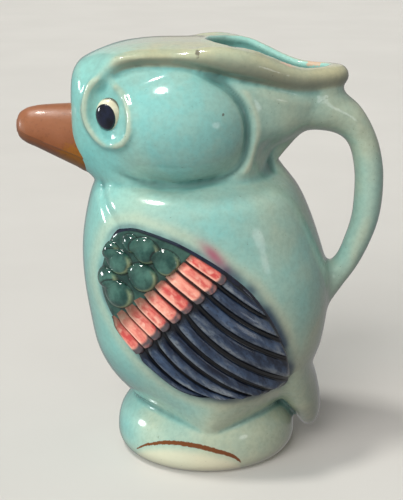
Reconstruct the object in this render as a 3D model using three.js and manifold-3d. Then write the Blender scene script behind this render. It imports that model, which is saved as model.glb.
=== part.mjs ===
// Ceramic pitcher in the form of a perched bird, with its mouth in the top of the head.
// Sizes are in millimetres. +Z is up, the bird faces -X and its left side is -Y.
// The origin is on the table, under the middle of the overall length.

import * as THREE from "three";
import { mergeVertices } from "three/addons/utils/BufferGeometryUtils.js";
import Module from "manifold-3d";

const wasm = await Module();
wasm.setup();

// Clay
const WALL = 5; // wall of the body and the head
const SEAM = 0.3; // slip seam between luted forms
const WELD = 1e-4; // points closer than this are one

// Foot
const FOOT_X = 2.3; // its axis, behind the origin
const FOOT_RADIUS = 44; // widest line
const FOOT_BULGE_Z = 8; // height of the widest line
const FOOT_CONTACT_RADIUS = 37; // outer edge of the resting ring
const FOOT_RING_WIDTH = 6;
const FOOT_RECESS = 2.5; // hollow inside the resting ring
const FOOT_HEIGHT = 21;
const FOOT_TOP_RADIUS = 30; // where the cushion turns flat under the body

// Body
const BODY_FLOOR_Z = 14; // underside, sunk in the foot
const BODY_CHEST = 57; // reach ahead of the origin
const BODY_BACK = 62; // reach behind the origin
const BODY_WIDTH = 103;
const BODY_SQUARENESS = 2.2; // 2 is an ellipse in plan
const NECK_Z = 141.8; // neck seam over the origin
const NECK_TILT = THREE.MathUtils.degToRad(6.9); // the seam rises to the back
const NECK_OVERRUN = 10; // both lofts run past the seam before it is cut

// Head
const HEAD_FRONT = 61; // reach of the forehead
const HEAD_BACK = 66; // reach of the nape
const HEAD_CROWN_Z = 201.3;
const HEAD_DEPTH = 89; // crown to the lowest line of the whole loft
const HEAD_WIDTH = 63;
const HEAD_TOP_SQUARENESS = 3;
const HEAD_UNDER_SQUARENESS = 2.4;
const CHEEK_X = -9;
const CHEEK_Z = 163.5;
const CHEEK_INSET = 12; // middle of a cheek, from the middle plane
const CHEEK_LENGTH = 67;
const CHEEK_HEIGHT = 58;
const CHEEK_BULGE = 31.5; // from the middle of a cheek outwards

// Mouth and rim
const MOUTH_FRONT_X = -6;
const MOUTH_LENGTH = 63;
const MOUTH_WIDTH = 38;
const MOUTH_SILL_Z = 176; // the opening is cut from here upwards
const RIM_RADIUS = 5; // the coil round the mouth
const BROW_RADIUS = 2.2; // the coil's ends in front of the eyes
const BROW_TAPER = 0.55; // share of each half of the coil that thins to the brow
const RIM_PROUD = 1.5; // coil's middle line outside the head's face

// Beak
const BEAK_TIP = 87; // reach ahead of the origin
const BEAK_ROOT = 52; // hidden end, inside the head
const BEAK_TOP_Z = 172;
const BEAK_HEIGHT = 34;
const BEAK_WIDTH = 31;
const BEAK_SQUARENESS = 1.75; // under 2 leaves an edge along the gape

// Eyes
const EYE_X = -42;
const EYE_Z = 171.7;
const EYE_WIDTH = 12.5;
const EYE_HEIGHT = 15;
const EYE_DOME = 4.5; // half thickness of the ball
const EYE_SINK = 1.6; // ball's middle below the head's face
const PUPIL_WIDTH = 8.6;
const PUPIL_HEIGHT = 11;
const PUPIL_FORWARD = 1.4;
const PUPIL_DROP = 1;
const PUPIL_THICKNESS = 0.8;
const LID_WIDTH = 20.5;
const LID_HEIGHT = 29.5;
const LID_RADIUS = 2;

// Handle
const HANDLE_BACK = 86.8; // reach behind the origin
const HANDLE_THICKNESS = 13.8;
const HANDLE_WIDTH = 17;
const HANDLE_TOP_Z = 171; // middle of the upper root
const HANDLE_LOW_Z = 73; // middle of the lower root
const HANDLE_ROOT_X = 50; // hidden ends
const HANDLE_TOP_FLARE = 2; // growth of the upper root
const HANDLE_LOW_FLARE = 1.5;
const HANDLE_TOP_BLEND = 0.3; // share of the handle that the upper flare takes
const HANDLE_LOW_BLEND = 0.22;
const HANDLE_SLIM = 0.13; // thinning of the lower half
const HANDLE_SLIM_FROM = 0.45; // share of the way down where the thinning starts
const HANDLE_SLIM_TO = 0.75;

// Tail
const TAIL_ROOT_Z = 50;
const TAIL_TIP_Z = 6.6;
const TAIL_X = 40; // hidden root
const TAIL_SWEEP = 12.5; // tip behind the root
const TAIL_WIDTH = 50;
const TAIL_THICKNESS = 25;

// Wings
const WING_X = -37; // shoulder point
const WING_Z = 118;
const WING_LENGTH = 109;
const WING_UPPER = 23.5; // widest, above the line from shoulder to tip
const WING_LOWER = 33.3; // widest, below that line
const WING_SLOPE = THREE.MathUtils.degToRad(44.3); // the tip points down
const WING_BED = 1.2; // thickness of the plaque
const WING_BORDER = 0.9; // plaque left bare round the feathers
const COVERT_PAD = 1.1;
const COVERT_HEIGHT = 2.6;
const COVERT_LAP = 2.5; // over the upper ends of the band
const FEATHER_GROOVE = 0.4; // clay left under the grooves
const FEATHER_FLANK = 0.28; // share of a feather's width that each sloping side takes
const BAND_FROM = 24; // along the wing
const BAND_TO = 46;
const BAND_WIDTH_FROM = 46; // whole row, at its upper end
const BAND_WIDTH_TO = 56;
const BAND_NOTCH = 3; // notches between the rounded tips
const BAND_HEIGHT = 1.9;
const BAND_FEATHERS = 9;
const PRIMARY_FROM = 42;
const PRIMARY_WIDTH = 56; // whole row, at its upper end
const PRIMARY_HEIGHT = 1.5;
const PRIMARY_FEATHERS = 9;
const PRIMARY_DROOP = 0.05; // bow of a feather over its length
const PRIMARY_END_LOW = 0.68; // outermost tips, as shares of the way round the wing's outline
const PRIMARY_END_HIGH = 0.25;
const PRIMARY_OVERRUN = 0.05; // past the outline, cut back to it

// Fineness of the facets
const BODY_SIDES = 28;
const BODY_LEVELS = 12;
const BODY_LEVEL_EASE = 1.35; // closer levels near the floor
const HEAD_SIDES = 20;
const HEAD_STATIONS = 15;
const CHEEK_SIDES = 16;
const FOOT_SIDES = 32;
const FOOT_LEVELS = 7;
const BEAK_SIDES = 16;
const BEAK_STEPS = 9;
const HANDLE_SIDES = 12;
const HANDLE_STEPS = 18;
const TAIL_SIDES = 18;
const TAIL_STEPS = 10;
const COIL_SIDES = 8;
const COIL_STEPS = 30;
const LID_SIDES = 6;
const LID_STEPS = 20;
const EYE_SIDES = 12;
const SCALE_SIDES = 10;
const WING_CORNERS = 34;
const MOUTH_CORNERS = 30;

// Body sections: height from floor to neck, then chest, back and width, each as a share of its size
const BODY_SHAPE = [
  [0, 0.46, 0.45, 0.6],
  [0.035, 0.55, 0.53, 0.69],
  [0.1, 0.66, 0.69, 0.785],
  [0.19, 0.772, 0.84, 0.874],
  [0.3, 0.885, 0.935, 0.951],
  [0.45, 0.956, 0.99, 1],
  [0.6, 1, 0.985, 1],
  [0.73, 1, 0.91, 0.951],
  [0.87, 0.947, 0.8, 0.845],
  [0.96, 0.88, 0.69, 0.725],
  [1, 0.85, 0.62, 0.66],
  [1.08, 0.79, 0.52, 0.6],
];

// Head sections: length from forehead to nape, then underside, top (below the crown) and width
const HEAD_SHAPE = [
  [0, 0.487, 0.261, 0.127],
  [0.0055, 0.576, 0.195, 0.317],
  [0.024, 0.644, 0.127, 0.508],
  [0.079, 0.73, 0.071, 0.714],
  [0.165, 0.868, 0.028, 0.873],
  [0.283, 0.981, 0.004, 0.968],
  [0.417, 1, 0, 1],
  [0.559, 0.97, 0.021, 0.96],
  [0.654, 0.868, 0.06, 0.88],
  [0.74, 0.6775, 0.099, 0.77],
  [0.819, 0.537, 0.133, 0.62],
  [0.898, 0.419, 0.154, 0.44],
  [0.961, 0.329, 0.176, 0.3],
  [0.99, 0.283, 0.193, 0.17],
  [1, 0.257, 0.21, 0.08],
];

// Beak sections: from root to tip, then top, gape edge, underside (below the beak's top) and width
const BEAK_SHAPE = [
  [0, 0, 0.72, 1, 1],
  [0.229, 0.02, 0.641, 0.891, 0.935],
  [0.514, 0.035, 0.538, 0.747, 0.794],
  [0.743, 0.059, 0.456, 0.632, 0.645],
  [0.886, 0.106, 0.403, 0.565, 0.503],
  [0.971, 0.182, 0.362, 0.488, 0.297],
  [1, 0.25, 0.338, 0.426, 0.116],
];

// Rim coil from the nape: share of the head's length, and angle round the head's section in degrees
const RIM_COURSE = [
  [0.9685, 90],
  [0.9567, 68],
  [0.9134, 58],
  [0.8504, 54],
  [0.7638, 53],
  [0.6535, 53],
  [0.5433, 53],
  [0.4173, 52],
  [0.3071, 51],
  [0.2205, 49],
  [0.1496, 43],
  [0.1181, 33],
  [0.0906, 22],
  [0.0709, 10],
];

// Mouth in plan: share of its length, share of its half width
const MOUTH_SHAPE = [
  [0, 0],
  [0.025, 0.36],
  [0.1, 0.7],
  [0.22, 0.92],
  [0.38, 1],
  [0.57, 0.9],
  [0.77, 0.68],
  [0.92, 0.42],
  [1, 0],
];

// Foot's bulge: share of the way in from the widest line, below it (negative) or above, then height
const FOOT_SHAPE = [
  [-1, -1],
  [-0.25, -0.64],
  [0, 0],
  [0.34, 0.74],
  [1, 1],
];

// Handle's middle line: shares of its reach and of its height, from the upper root down
const HANDLE_COURSE = [
  [0, 1],
  [0.33, 0.975],
  [0.64, 0.92],
  [0.86, 0.83],
  [0.98, 0.7],
  [1, 0.58],
  [0.965, 0.45],
  [0.87, 0.345],
  [0.71, 0.235],
  [0.5, 0.14],
  [0.24, 0.06],
  [0, 0],
];

// Tail's middle line from the root: shares of its sweep and height, then width and thickness
const TAIL_COURSE = [
  [0, 1, 1, 1],
  [0.5, 0.6, 0.86, 0.8],
  [0.76, 0.26, 0.68, 0.6],
  [0.94, 0.09, 0.5, 0.36],
  [1, 0, 0.2, 0.1],
];

// Lid line round the eye, as shares of half its width and height
const LID_SHAPE = [
  [0, 1],
  [0.6, 0.6],
  [0.98, 0],
  [0.82, -0.64],
  [0.2, -0.98],
  [-0.45, -0.87],
  [-0.9, -0.4],
  [-1, 0.15],
  [-0.84, 0.6],
  [-0.42, 0.9],
];

// Wing outline: share of its length, then share of the upper or the lower width
const WING_OUTLINE = [
  [-0.025, -0.06],
  [0, 0.22],
  [0.07, 0.51],
  [0.18, 0.78],
  [0.35, 0.95],
  [0.5, 1],
  [0.7, 0.84],
  [0.86, 0.55],
  [0.965, 0.19],
  [0.99, 0],
  [0.925, -0.2],
  [0.855, -0.46],
  [0.775, -0.75],
  [0.66, -0.94],
  [0.5, -1],
  [0.35, -1],
  [0.2, -0.87],
  [0.09, -0.67],
  [0.01, -0.36],
];

// Shoulder scales: share of the wing's length, of its upper or lower width, and radius by its length
const SCALES = [
  [0.0734, 0.1064, 0.0404],
  [0.0826, -0.2402, 0.0514],
  [0.1055, -0.5405, 0.0422],
  [0.133, 0.2128, 0.0514],
  [0.1835, -0.5856, 0.055],
  [0.1927, -0.1802, 0.055],
  [0.211, 0.3617, 0.0532],
];

// Glaze colours
const TURQUOISE = { color: 0x86cbc4, roughness: 0.22, metalness: 0 };
const BROWN = { color: 0x935630, roughness: 0.25, metalness: 0 };
const CREAM = { color: 0xd9d3b8, roughness: 0.2, metalness: 0 };
const INK = { color: 0x1b1f2e, roughness: 0.12, metalness: 0 };
const GREEN = { color: 0x32604f, roughness: 0.25, metalness: 0 };
const CORAL = { color: 0xc86c60, roughness: 0.3, metalness: 0 };
const SLATE = { color: 0x36466a, roughness: 0.25, metalness: 0 };

// Solids

function solid(geometry) {
  const bare = geometry.clone();
  bare.deleteAttribute("normal");
  bare.deleteAttribute("uv");
  const merged = mergeVertices(bare, WELD);
  const vertProperties = new Float32Array(merged.attributes.position.array);
  const triVerts = new Uint32Array(merged.index.array);
  const shape = new wasm.Manifold(new wasm.Mesh({ numProp: 3, vertProperties, triVerts }));
  if (shape.volume() > 0) {
    return shape;
  }
  triVerts.reverse();
  return new wasm.Manifold(new wasm.Mesh({ numProp: 3, vertProperties, triVerts }));
}

function largest(shape) {
  return shape.decompose().reduce((a, b) => (a.volume() > b.volume() ? a : b));
}

// Skin over closed rings of equal length, shut at both ends
function loft(rings) {
  const count = rings[0].length;
  const points = rings.flat();
  const index = [];
  for (let r = 0; r + 1 < rings.length; r++) {
    for (let i = 0; i < count; i++) {
      const a = r * count + i;
      const b = r * count + ((i + 1) % count);
      index.push(a, b, b + count, a, b + count, a + count);
    }
  }
  const ends = [rings[0], rings[rings.length - 1]];
  ends.forEach((ring, side) => {
    const base = side * (rings.length - 1) * count;
    const middle = points.length;
    points.push(ring.reduce((sum, p) => sum.add(p), new THREE.Vector3()).divideScalar(count));
    for (let i = 0; i < count; i++) {
      const a = base + i;
      const b = base + ((i + 1) % count);
      index.push(middle, side ? a : b, side ? b : a);
    }
  });
  const geometry = new THREE.BufferGeometry().setFromPoints(points);
  geometry.setIndex(index);
  return geometry;
}

function sections(rows) {
  const places = rows.map((row) => row[0]);
  const values = rows.flatMap((row) => row.slice(1));
  const curve = new THREE.CubicInterpolant(places, values, rows[0].length - 1);
  return (place) => [...curve.evaluate(place)];
}

function rounded(value, squareness) {
  return Math.sign(value) * Math.abs(value) ** (2 / squareness);
}

function turns(count) {
  return Array.from({ length: count }, (_, i) => (i / count) * 2 * Math.PI);
}

function shares(steps) {
  return Array.from({ length: steps + 1 }, (_, i) => i / steps);
}

function ellipsoid(centre, radii, sides) {
  const ball = new THREE.SphereGeometry(1, sides, Math.round(sides * 0.6));
  return ball.scale(...radii).translate(...centre);
}

// Body

const bodyShape = sections(BODY_SHAPE);

function bodyAt(z) {
  const [chest, back, width] = bodyShape((z - BODY_FLOOR_Z) / (NECK_Z - BODY_FLOOR_Z));
  return { chest: chest * BODY_CHEST, back: back * BODY_BACK, half: (width * BODY_WIDTH) / 2 };
}

function bodySolid(grow) {
  const low = BODY_FLOOR_Z - grow;
  const high = NECK_Z + NECK_OVERRUN;
  const rings = shares(BODY_LEVELS).map((share) => {
    const eased = share ** BODY_LEVEL_EASE;
    const z = THREE.MathUtils.lerp(low, high, eased);
    const { chest, back, half } = bodyAt(THREE.MathUtils.lerp(Math.max(low, BODY_FLOOR_Z), high, eased));
    return turns(BODY_SIDES).map((a) => {
      const along = rounded(Math.cos(a), BODY_SQUARENESS) * ((chest + back) / 2 + grow);
      const across = rounded(Math.sin(a), BODY_SQUARENESS) * (half + grow);
      return new THREE.Vector3((back - chest) / 2 + along, across, z);
    });
  });
  return solid(loft(rings));
}

// Point on the body's left side
function bodySide(x, z) {
  const { chest, back, half } = bodyAt(z);
  const share = Math.abs((x - (back - chest) / 2) / ((chest + back) / 2));
  const inside = Math.max(1 - share ** BODY_SQUARENESS, 0.02);
  return new THREE.Vector3(x, -half * inside ** (1 / BODY_SQUARENESS), z);
}

function sideNormal(side, x, z) {
  const step = 0.5;
  const along = side(x + step, z).sub(side(x - step, z));
  const up = side(x, z + step).sub(side(x, z - step));
  return along.cross(up).normalize();
}

function aboveNeck(lift) {
  const size = 2 * HEAD_CROWN_Z;
  const block = new THREE.BoxGeometry(size, size, size).translate(0, 0, size / 2);
  return solid(block.rotateY(-NECK_TILT).translate(0, 0, NECK_Z + lift));
}

// Head

const headShape = sections(HEAD_SHAPE);

function headAt(x) {
  const [under, top, width] = headShape((x + HEAD_FRONT) / (HEAD_FRONT + HEAD_BACK));
  const low = HEAD_CROWN_Z - under * HEAD_DEPTH;
  const high = HEAD_CROWN_Z - top * HEAD_DEPTH;
  return { middle: (low + high) / 2, rise: (high - low) / 2, half: (width * HEAD_WIDTH) / 2 };
}

function headPoint(x, angle, grow) {
  const { middle, rise, half } = headAt(x);
  const squareness = Math.sin(angle) > 0 ? HEAD_TOP_SQUARENESS : HEAD_UNDER_SQUARENESS;
  const across = rounded(Math.cos(angle), squareness) * (half + grow);
  return new THREE.Vector3(x, -across, middle + rounded(Math.sin(angle), squareness) * (rise + grow));
}

function headLoft(grow) {
  const rings = shares(HEAD_STATIONS).map((share) => {
    const eased = (1 - Math.cos(share * Math.PI)) / 2;
    const inset = Math.min(grow, 0);
    const section = THREE.MathUtils.lerp(-HEAD_FRONT - inset, HEAD_BACK + inset, eased);
    const x = THREE.MathUtils.lerp(-HEAD_FRONT - grow, HEAD_BACK + grow, eased);
    return turns(HEAD_SIDES).map((a) => headPoint(section, a, grow).setX(x));
  });
  return solid(loft(rings));
}

function cheek(side, grow) {
  const radii = [CHEEK_LENGTH / 2 + grow, CHEEK_BULGE + grow, CHEEK_HEIGHT / 2 + grow];
  return solid(ellipsoid([CHEEK_X, side * CHEEK_INSET, CHEEK_Z], radii, CHEEK_SIDES));
}

function headSolid(grow) {
  return headLoft(grow).add(cheek(-1, grow)).add(cheek(1, grow));
}

// Point on the head's left side: the loft or the cheek, whichever stands out
function headSide(x, z) {
  const { middle, rise, half } = headAt(x);
  const squareness = z > middle ? HEAD_TOP_SQUARENESS : HEAD_UNDER_SQUARENESS;
  const share = Math.min(Math.abs((z - middle) / rise), 0.99);
  const skull = half * (1 - share ** squareness) ** (1 / squareness);
  const ahead = (x - CHEEK_X) / (CHEEK_LENGTH / 2);
  const above = (z - CHEEK_Z) / (CHEEK_HEIGHT / 2);
  const dome = CHEEK_INSET + CHEEK_BULGE * Math.sqrt(Math.max(1 - ahead ** 2 - above ** 2, 0));
  return new THREE.Vector3(x, -Math.max(skull, dome), z);
}

// Rim coil

const rimHalf = RIM_COURSE.map(([share, degrees]) => {
  const x = THREE.MathUtils.lerp(-HEAD_FRONT, HEAD_BACK, share);
  const angle = THREE.MathUtils.degToRad(degrees);
  return headPoint(x, angle, RIM_PROUD);
});
const rimOther = rimHalf.slice(1).map((p) => new THREE.Vector3(p.x, -p.y, p.z));
const rimCurve = new THREE.CatmullRomCurve3([...rimHalf.slice().reverse(), ...rimOther]);

function coil(grow) {
  const frames = rimCurve.computeFrenetFrames(COIL_STEPS, false);
  const rings = shares(COIL_STEPS).map((share, i) => {
    const centre = rimCurve.getPointAt(share);
    const fromEnd = 1 - Math.abs(2 * share - 1);
    const full = THREE.MathUtils.smoothstep(fromEnd, 0, BROW_TAPER);
    const radius = THREE.MathUtils.lerp(BROW_RADIUS, RIM_RADIUS, full) + grow;
    return turns(COIL_SIDES).map((a) => {
      const side = frames.normals[i].clone().multiplyScalar(Math.cos(a) * radius);
      const lift = frames.binormals[i].clone().multiplyScalar(Math.sin(a) * radius);
      return centre.clone().add(side).add(lift);
    });
  });
  return solid(loft(rings));
}

function mouthPrism() {
  const points = MOUTH_SHAPE.map(([along, across]) => {
    return new THREE.Vector3(MOUTH_FRONT_X + along * MOUTH_LENGTH, (across * MOUTH_WIDTH) / 2, 0);
  });
  const other = points.slice(1, -1).reverse().map((p) => new THREE.Vector3(p.x, -p.y, 0));
  const edge = new THREE.CatmullRomCurve3([...points, ...other], true);
  const shape = new THREE.Shape(edge.getSpacedPoints(MOUTH_CORNERS).slice(1));
  const settings = { depth: HEAD_CROWN_Z, bevelEnabled: false };
  return solid(new THREE.ExtrudeGeometry(shape, settings).translate(0, 0, MOUTH_SILL_Z));
}

// Beak

const beakShape = sections(BEAK_SHAPE);

function beakSolid() {
  const rings = shares(BEAK_STEPS).map((share) => {
    const eased = Math.sin((share * Math.PI) / 2);
    const [top, edge, under, width] = beakShape(eased);
    const x = -THREE.MathUtils.lerp(BEAK_ROOT, BEAK_TIP, eased);
    return turns(BEAK_SIDES).map((a) => {
      const reach = (Math.sin(a) > 0 ? edge - top : under - edge) * BEAK_HEIGHT;
      const across = (rounded(Math.cos(a), BEAK_SQUARENESS) * width * BEAK_WIDTH) / 2;
      const z = BEAK_TOP_Z - edge * BEAK_HEIGHT + rounded(Math.sin(a), BEAK_SQUARENESS) * reach;
      return new THREE.Vector3(x, across, z);
    });
  });
  return solid(loft(rings));
}

// Eyes

const eyeMiddle = headSide(EYE_X, EYE_Z);
const eyeOut = sideNormal(headSide, EYE_X, EYE_Z);
const eyeUp = new THREE.Vector3(0, 0, 1).addScaledVector(eyeOut, -eyeOut.z).normalize();
const eyeBack = new THREE.Vector3().crossVectors(eyeUp, eyeOut).negate();

function eyeBall(width, height, dome, back, up) {
  const ball = new THREE.SphereGeometry(1, EYE_SIDES, EYE_SIDES / 2).scale(width / 2, dome, height / 2);
  const place = eyeMiddle.clone().addScaledVector(eyeOut, -EYE_SINK);
  place.addScaledVector(eyeBack, back).addScaledVector(eyeUp, up);
  const turn = new THREE.Matrix4().makeBasis(eyeBack, eyeOut, eyeUp).setPosition(place);
  return solid(ball.applyMatrix4(turn));
}

function pupilPrism() {
  const oval = new THREE.CylinderGeometry(1, 1, 4 * EYE_DOME, EYE_SIDES).translate(0, 2 * EYE_DOME, 0);
  oval.scale(PUPIL_WIDTH / 2, 1, PUPIL_HEIGHT / 2);
  const place = eyeMiddle.clone().addScaledVector(eyeOut, -EYE_SINK);
  place.addScaledVector(eyeBack, -PUPIL_FORWARD).addScaledVector(eyeUp, -PUPIL_DROP);
  const turn = new THREE.Matrix4().makeBasis(eyeBack, eyeOut, eyeUp).setPosition(place);
  return solid(oval.applyMatrix4(turn));
}

function lid(grow) {
  const points = LID_SHAPE.map(([along, up]) => {
    const x = EYE_X + (along * LID_WIDTH) / 2;
    return headSide(x, EYE_Z + (up * LID_HEIGHT) / 2);
  });
  const line = new THREE.CatmullRomCurve3(points, true);
  return solid(new THREE.TubeGeometry(line, LID_STEPS, LID_RADIUS + grow, LID_SIDES, true));
}

// Handle

function handleSolid() {
  const back = HANDLE_BACK - HANDLE_THICKNESS / 2;
  const span = HANDLE_TOP_Z - HANDLE_LOW_Z;
  const depth = back - HANDLE_ROOT_X;
  const points = HANDLE_COURSE.map(([out, up]) => {
    return new THREE.Vector3(HANDLE_ROOT_X + out * depth, 0, HANDLE_LOW_Z + up * span);
  });
  const line = new THREE.CatmullRomCurve3(points);
  const frames = line.computeFrenetFrames(HANDLE_STEPS, false);
  const rings = shares(HANDLE_STEPS).map((share, i) => {
    const centre = line.getPointAt(share);
    const atTop = 1 - THREE.MathUtils.smoothstep(share, 0, HANDLE_TOP_BLEND);
    const atLow = THREE.MathUtils.smoothstep(share, 1 - HANDLE_LOW_BLEND, 1);
    const slim = 1 - HANDLE_SLIM * THREE.MathUtils.smoothstep(share, HANDLE_SLIM_FROM, HANDLE_SLIM_TO);
    const size = slim + (HANDLE_TOP_FLARE - 1) * atTop + (HANDLE_LOW_FLARE - 1) * atLow;
    return turns(HANDLE_SIDES).map((a) => {
      const across = frames.normals[i].clone().multiplyScalar((Math.cos(a) * size * HANDLE_WIDTH) / 2);
      const out = frames.binormals[i].clone().multiplyScalar((Math.sin(a) * size * HANDLE_THICKNESS) / 2);
      return centre.clone().add(across).add(out);
    });
  });
  return solid(loft(rings));
}

// Tail

function tailSolid() {
  const span = TAIL_ROOT_Z - TAIL_TIP_Z;
  const line = new THREE.CatmullRomCurve3(
    TAIL_COURSE.map(([out, up]) => new THREE.Vector3(TAIL_X + out * TAIL_SWEEP, 0, TAIL_TIP_Z + up * span)),
  );
  const size = sections(TAIL_COURSE.map((row, i) => [i / (TAIL_COURSE.length - 1), row[2], row[3]]));
  const rings = shares(TAIL_STEPS).map((share) => {
    const centre = line.getPoint(share);
    const ahead = line.getTangent(share);
    const out = new THREE.Vector3(-ahead.z, 0, ahead.x);
    const [width, thickness] = size(share);
    return turns(TAIL_SIDES).map((a) => {
      const point = centre.clone().addScaledVector(out, (Math.cos(a) * thickness * TAIL_THICKNESS) / 2);
      point.y = (Math.sin(a) * width * TAIL_WIDTH) / 2;
      return point;
    });
  });
  return solid(loft(rings));
}

// Foot

function footSolid(grow) {
  const inner = FOOT_CONTACT_RADIUS - FOOT_RING_WIDTH;
  const bulge = FOOT_SHAPE.map(([out, up]) => {
    const low = out < 0 ? FOOT_CONTACT_RADIUS : FOOT_TOP_RADIUS;
    const radius = THREE.MathUtils.lerp(low, FOOT_RADIUS, 1 - Math.abs(out));
    const z = up < 0 ? FOOT_BULGE_Z * (1 + up) : THREE.MathUtils.lerp(FOOT_BULGE_Z, FOOT_HEIGHT, up);
    return new THREE.Vector2(radius + grow, z);
  });
  const outline = [
    new THREE.Vector2(0, FOOT_RECESS),
    new THREE.Vector2(inner - FOOT_RECESS, FOOT_RECESS),
    new THREE.Vector2(inner, 0),
    ...new THREE.SplineCurve(bulge).getPoints(FOOT_LEVELS),
    new THREE.Vector2(0, FOOT_HEIGHT + grow),
  ];
  return solid(new THREE.LatheGeometry(outline, FOOT_SIDES).rotateX(Math.PI / 2).translate(FOOT_X, 0, 0));
}

// Wings, on the body's left side

const wingAlong = new THREE.Vector2(Math.cos(WING_SLOPE), -Math.sin(WING_SLOPE));
const wingAcross = new THREE.Vector2(Math.sin(WING_SLOPE), Math.cos(WING_SLOPE));
const WING_MIDDLE = (WING_UPPER - WING_LOWER) / 2;
const wingWidth = (across) => (across > 0 ? WING_UPPER : WING_LOWER);
const wingLine = new THREE.CatmullRomCurve3(
  WING_OUTLINE.map(([along, across]) => {
    return new THREE.Vector3(along * WING_LENGTH, across * wingWidth(across), 0);
  }),
  true,
);

function wingPlace(along, across) {
  const x = WING_X + along * wingAlong.x + across * wingAcross.x;
  const z = WING_Z + along * wingAlong.y + across * wingAcross.y;
  return [x, z];
}

function wingColumn(corners) {
  const shape = new THREE.Shape(corners.map((p) => new THREE.Vector2(...wingPlace(p.x, p.y))));
  const settings = { depth: BODY_WIDTH, bevelEnabled: false };
  return solid(new THREE.ExtrudeGeometry(shape, settings).rotateX(Math.PI / 2));
}

// Column over the wing's outline, drawn in by a border
function outlineColumn(border) {
  const middle = new THREE.Vector3(WING_LENGTH / 2, WING_MIDDLE, 0);
  const corners = wingLine.getSpacedPoints(WING_CORNERS).slice(1);
  return wingColumn(corners.map((p) => p.clone().lerp(middle, border / p.distanceTo(middle))));
}

// Column over the shoulder end of the wing, as far as a line across it
function shoulderColumn(cut) {
  const corners = [
    [-WING_LENGTH, -WING_LENGTH],
    [cut, -WING_LENGTH],
    [cut, WING_LENGTH],
    [-WING_LENGTH, WING_LENGTH],
  ];
  return wingColumn(corners.map(([along, across]) => new THREE.Vector2(along, across)));
}

// Row of feathers pressed as one sheet over the plaque. A point's place in the row is counted in
// feathers across it and as a share of the way along it.
function featherRow(count, place, runs, ridge, grow) {
  const flutes = [];
  for (let i = 0; i < count; i++) {
    flutes.push([i, FEATHER_GROOVE], [i + FEATHER_FLANK, ridge], [i + 1 - FEATHER_FLANK, ridge]);
  }
  flutes.push([count, FEATHER_GROOVE]);
  const point = (row, run, height) => {
    const [x, z] = wingPlace(...place(row, run));
    const lift = WING_BED + 2 * SEAM + height;
    return bodySide(x, z).addScaledVector(sideNormal(bodySide, x, z), lift);
  };
  const rings = flutes.map(([row, height]) => {
    const top = runs.map((run) => point(row, run, height + grow));
    const under = runs.map((run) => point(row, run, -2 * WING_BED)).reverse();
    return [...top, ...under];
  });
  return solid(loft(rings));
}

function coverts(grow) {
  const cut = BAND_FROM + COVERT_LAP + grow;
  const high = bodySolid(WING_BED + 2 * SEAM + COVERT_PAD + grow);
  const pad = outlineColumn(WING_BORDER).intersect(shoulderColumn(cut)).intersect(high);
  return SCALES.reduce((sum, [along, across, size]) => {
    const radius = size * WING_LENGTH;
    const [x, z] = wingPlace(along * WING_LENGTH, across * wingWidth(across));
    const out = sideNormal(bodySide, x, z);
    const place = bodySide(x, z).addScaledVector(out, WING_BED);
    const dome = new THREE.SphereGeometry(1, SCALE_SIDES, SCALE_SIDES / 2);
    dome.scale(radius + grow, COVERT_HEIGHT + grow, radius + grow);
    const up = new THREE.Vector3(0, 0, 1).addScaledVector(out, -out.z).normalize();
    const side = new THREE.Vector3().crossVectors(out, up);
    dome.applyMatrix4(new THREE.Matrix4().makeBasis(side, out, up).setPosition(place));
    return sum.add(solid(dome));
  }, pad);
}

function band(grow) {
  const place = (row, run) => {
    const share = row / BAND_FEATHERS - 0.5;
    const edge = Math.abs(share) === 0.5 ? 2 * grow : 0;
    const width = THREE.MathUtils.lerp(BAND_WIDTH_FROM, BAND_WIDTH_TO, run) + edge;
    const notch = BAND_NOTCH * (2 * (row % 1) - 1) ** 2;
    const along = THREE.MathUtils.lerp(BAND_FROM, BAND_TO + grow - notch, run);
    return [along, WING_MIDDLE + share * width];
  };
  return featherRow(BAND_FEATHERS, place, shares(2), BAND_HEIGHT, grow);
}

function primaries() {
  const middle = new THREE.Vector3(PRIMARY_FROM, WING_MIDDLE, 0);
  const place = (row, run) => {
    const share = row / PRIMARY_FEATHERS;
    const across = WING_MIDDLE + (share - 0.5) * PRIMARY_WIDTH;
    const end = wingLine.getPointAt(THREE.MathUtils.lerp(PRIMARY_END_LOW, PRIMARY_END_HIGH, share));
    end.lerp(middle, -PRIMARY_OVERRUN);
    const reach = end.x - PRIMARY_FROM;
    const line = new THREE.QuadraticBezierCurve(
      new THREE.Vector2(PRIMARY_FROM, across),
      new THREE.Vector2(PRIMARY_FROM + reach / 2, across - PRIMARY_DROOP * reach),
      new THREE.Vector2(end.x, end.y),
    );
    return line.getPoint(run).toArray();
  };
  return featherRow(PRIMARY_FEATHERS, place, shares(5), PRIMARY_HEIGHT, 0);
}

// Assembly

const bodyOuter = bodySolid(0);
const bodyGap = bodySolid(SEAM);
const headOuter = headSolid(0);
const headGap = headSolid(SEAM);
const rimGap = coil(SEAM);
const lidShape = lid(0).subtract(rimGap);
const lidGap = lid(SEAM);
const ball = eyeBall(EYE_WIDTH, EYE_HEIGHT, EYE_DOME, 0, 0);
const ballGap = eyeBall(EYE_WIDTH + 2 * SEAM, EYE_HEIGHT + 2 * SEAM, EYE_DOME + SEAM, 0, 0);
const pupilTop = eyeBall(
  EYE_WIDTH + 2 * PUPIL_THICKNESS, EYE_HEIGHT + 2 * PUPIL_THICKNESS, EYE_DOME + SEAM + PUPIL_THICKNESS, 0, 0,
);
const pupilShape = pupilTop.intersect(pupilPrism()).subtract(ballGap);
const right = (shape) => solid(geometryOf(shape).scale(1, -1, 1));

function geometryOf(shape) {
  const mesh = shape.getMesh();
  const geometry = new THREE.BufferGeometry();
  geometry.setAttribute("position", new THREE.Float32BufferAttribute(mesh.vertProperties, 3));
  geometry.setIndex(Array.from(mesh.triVerts));
  return geometry;
}

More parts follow.
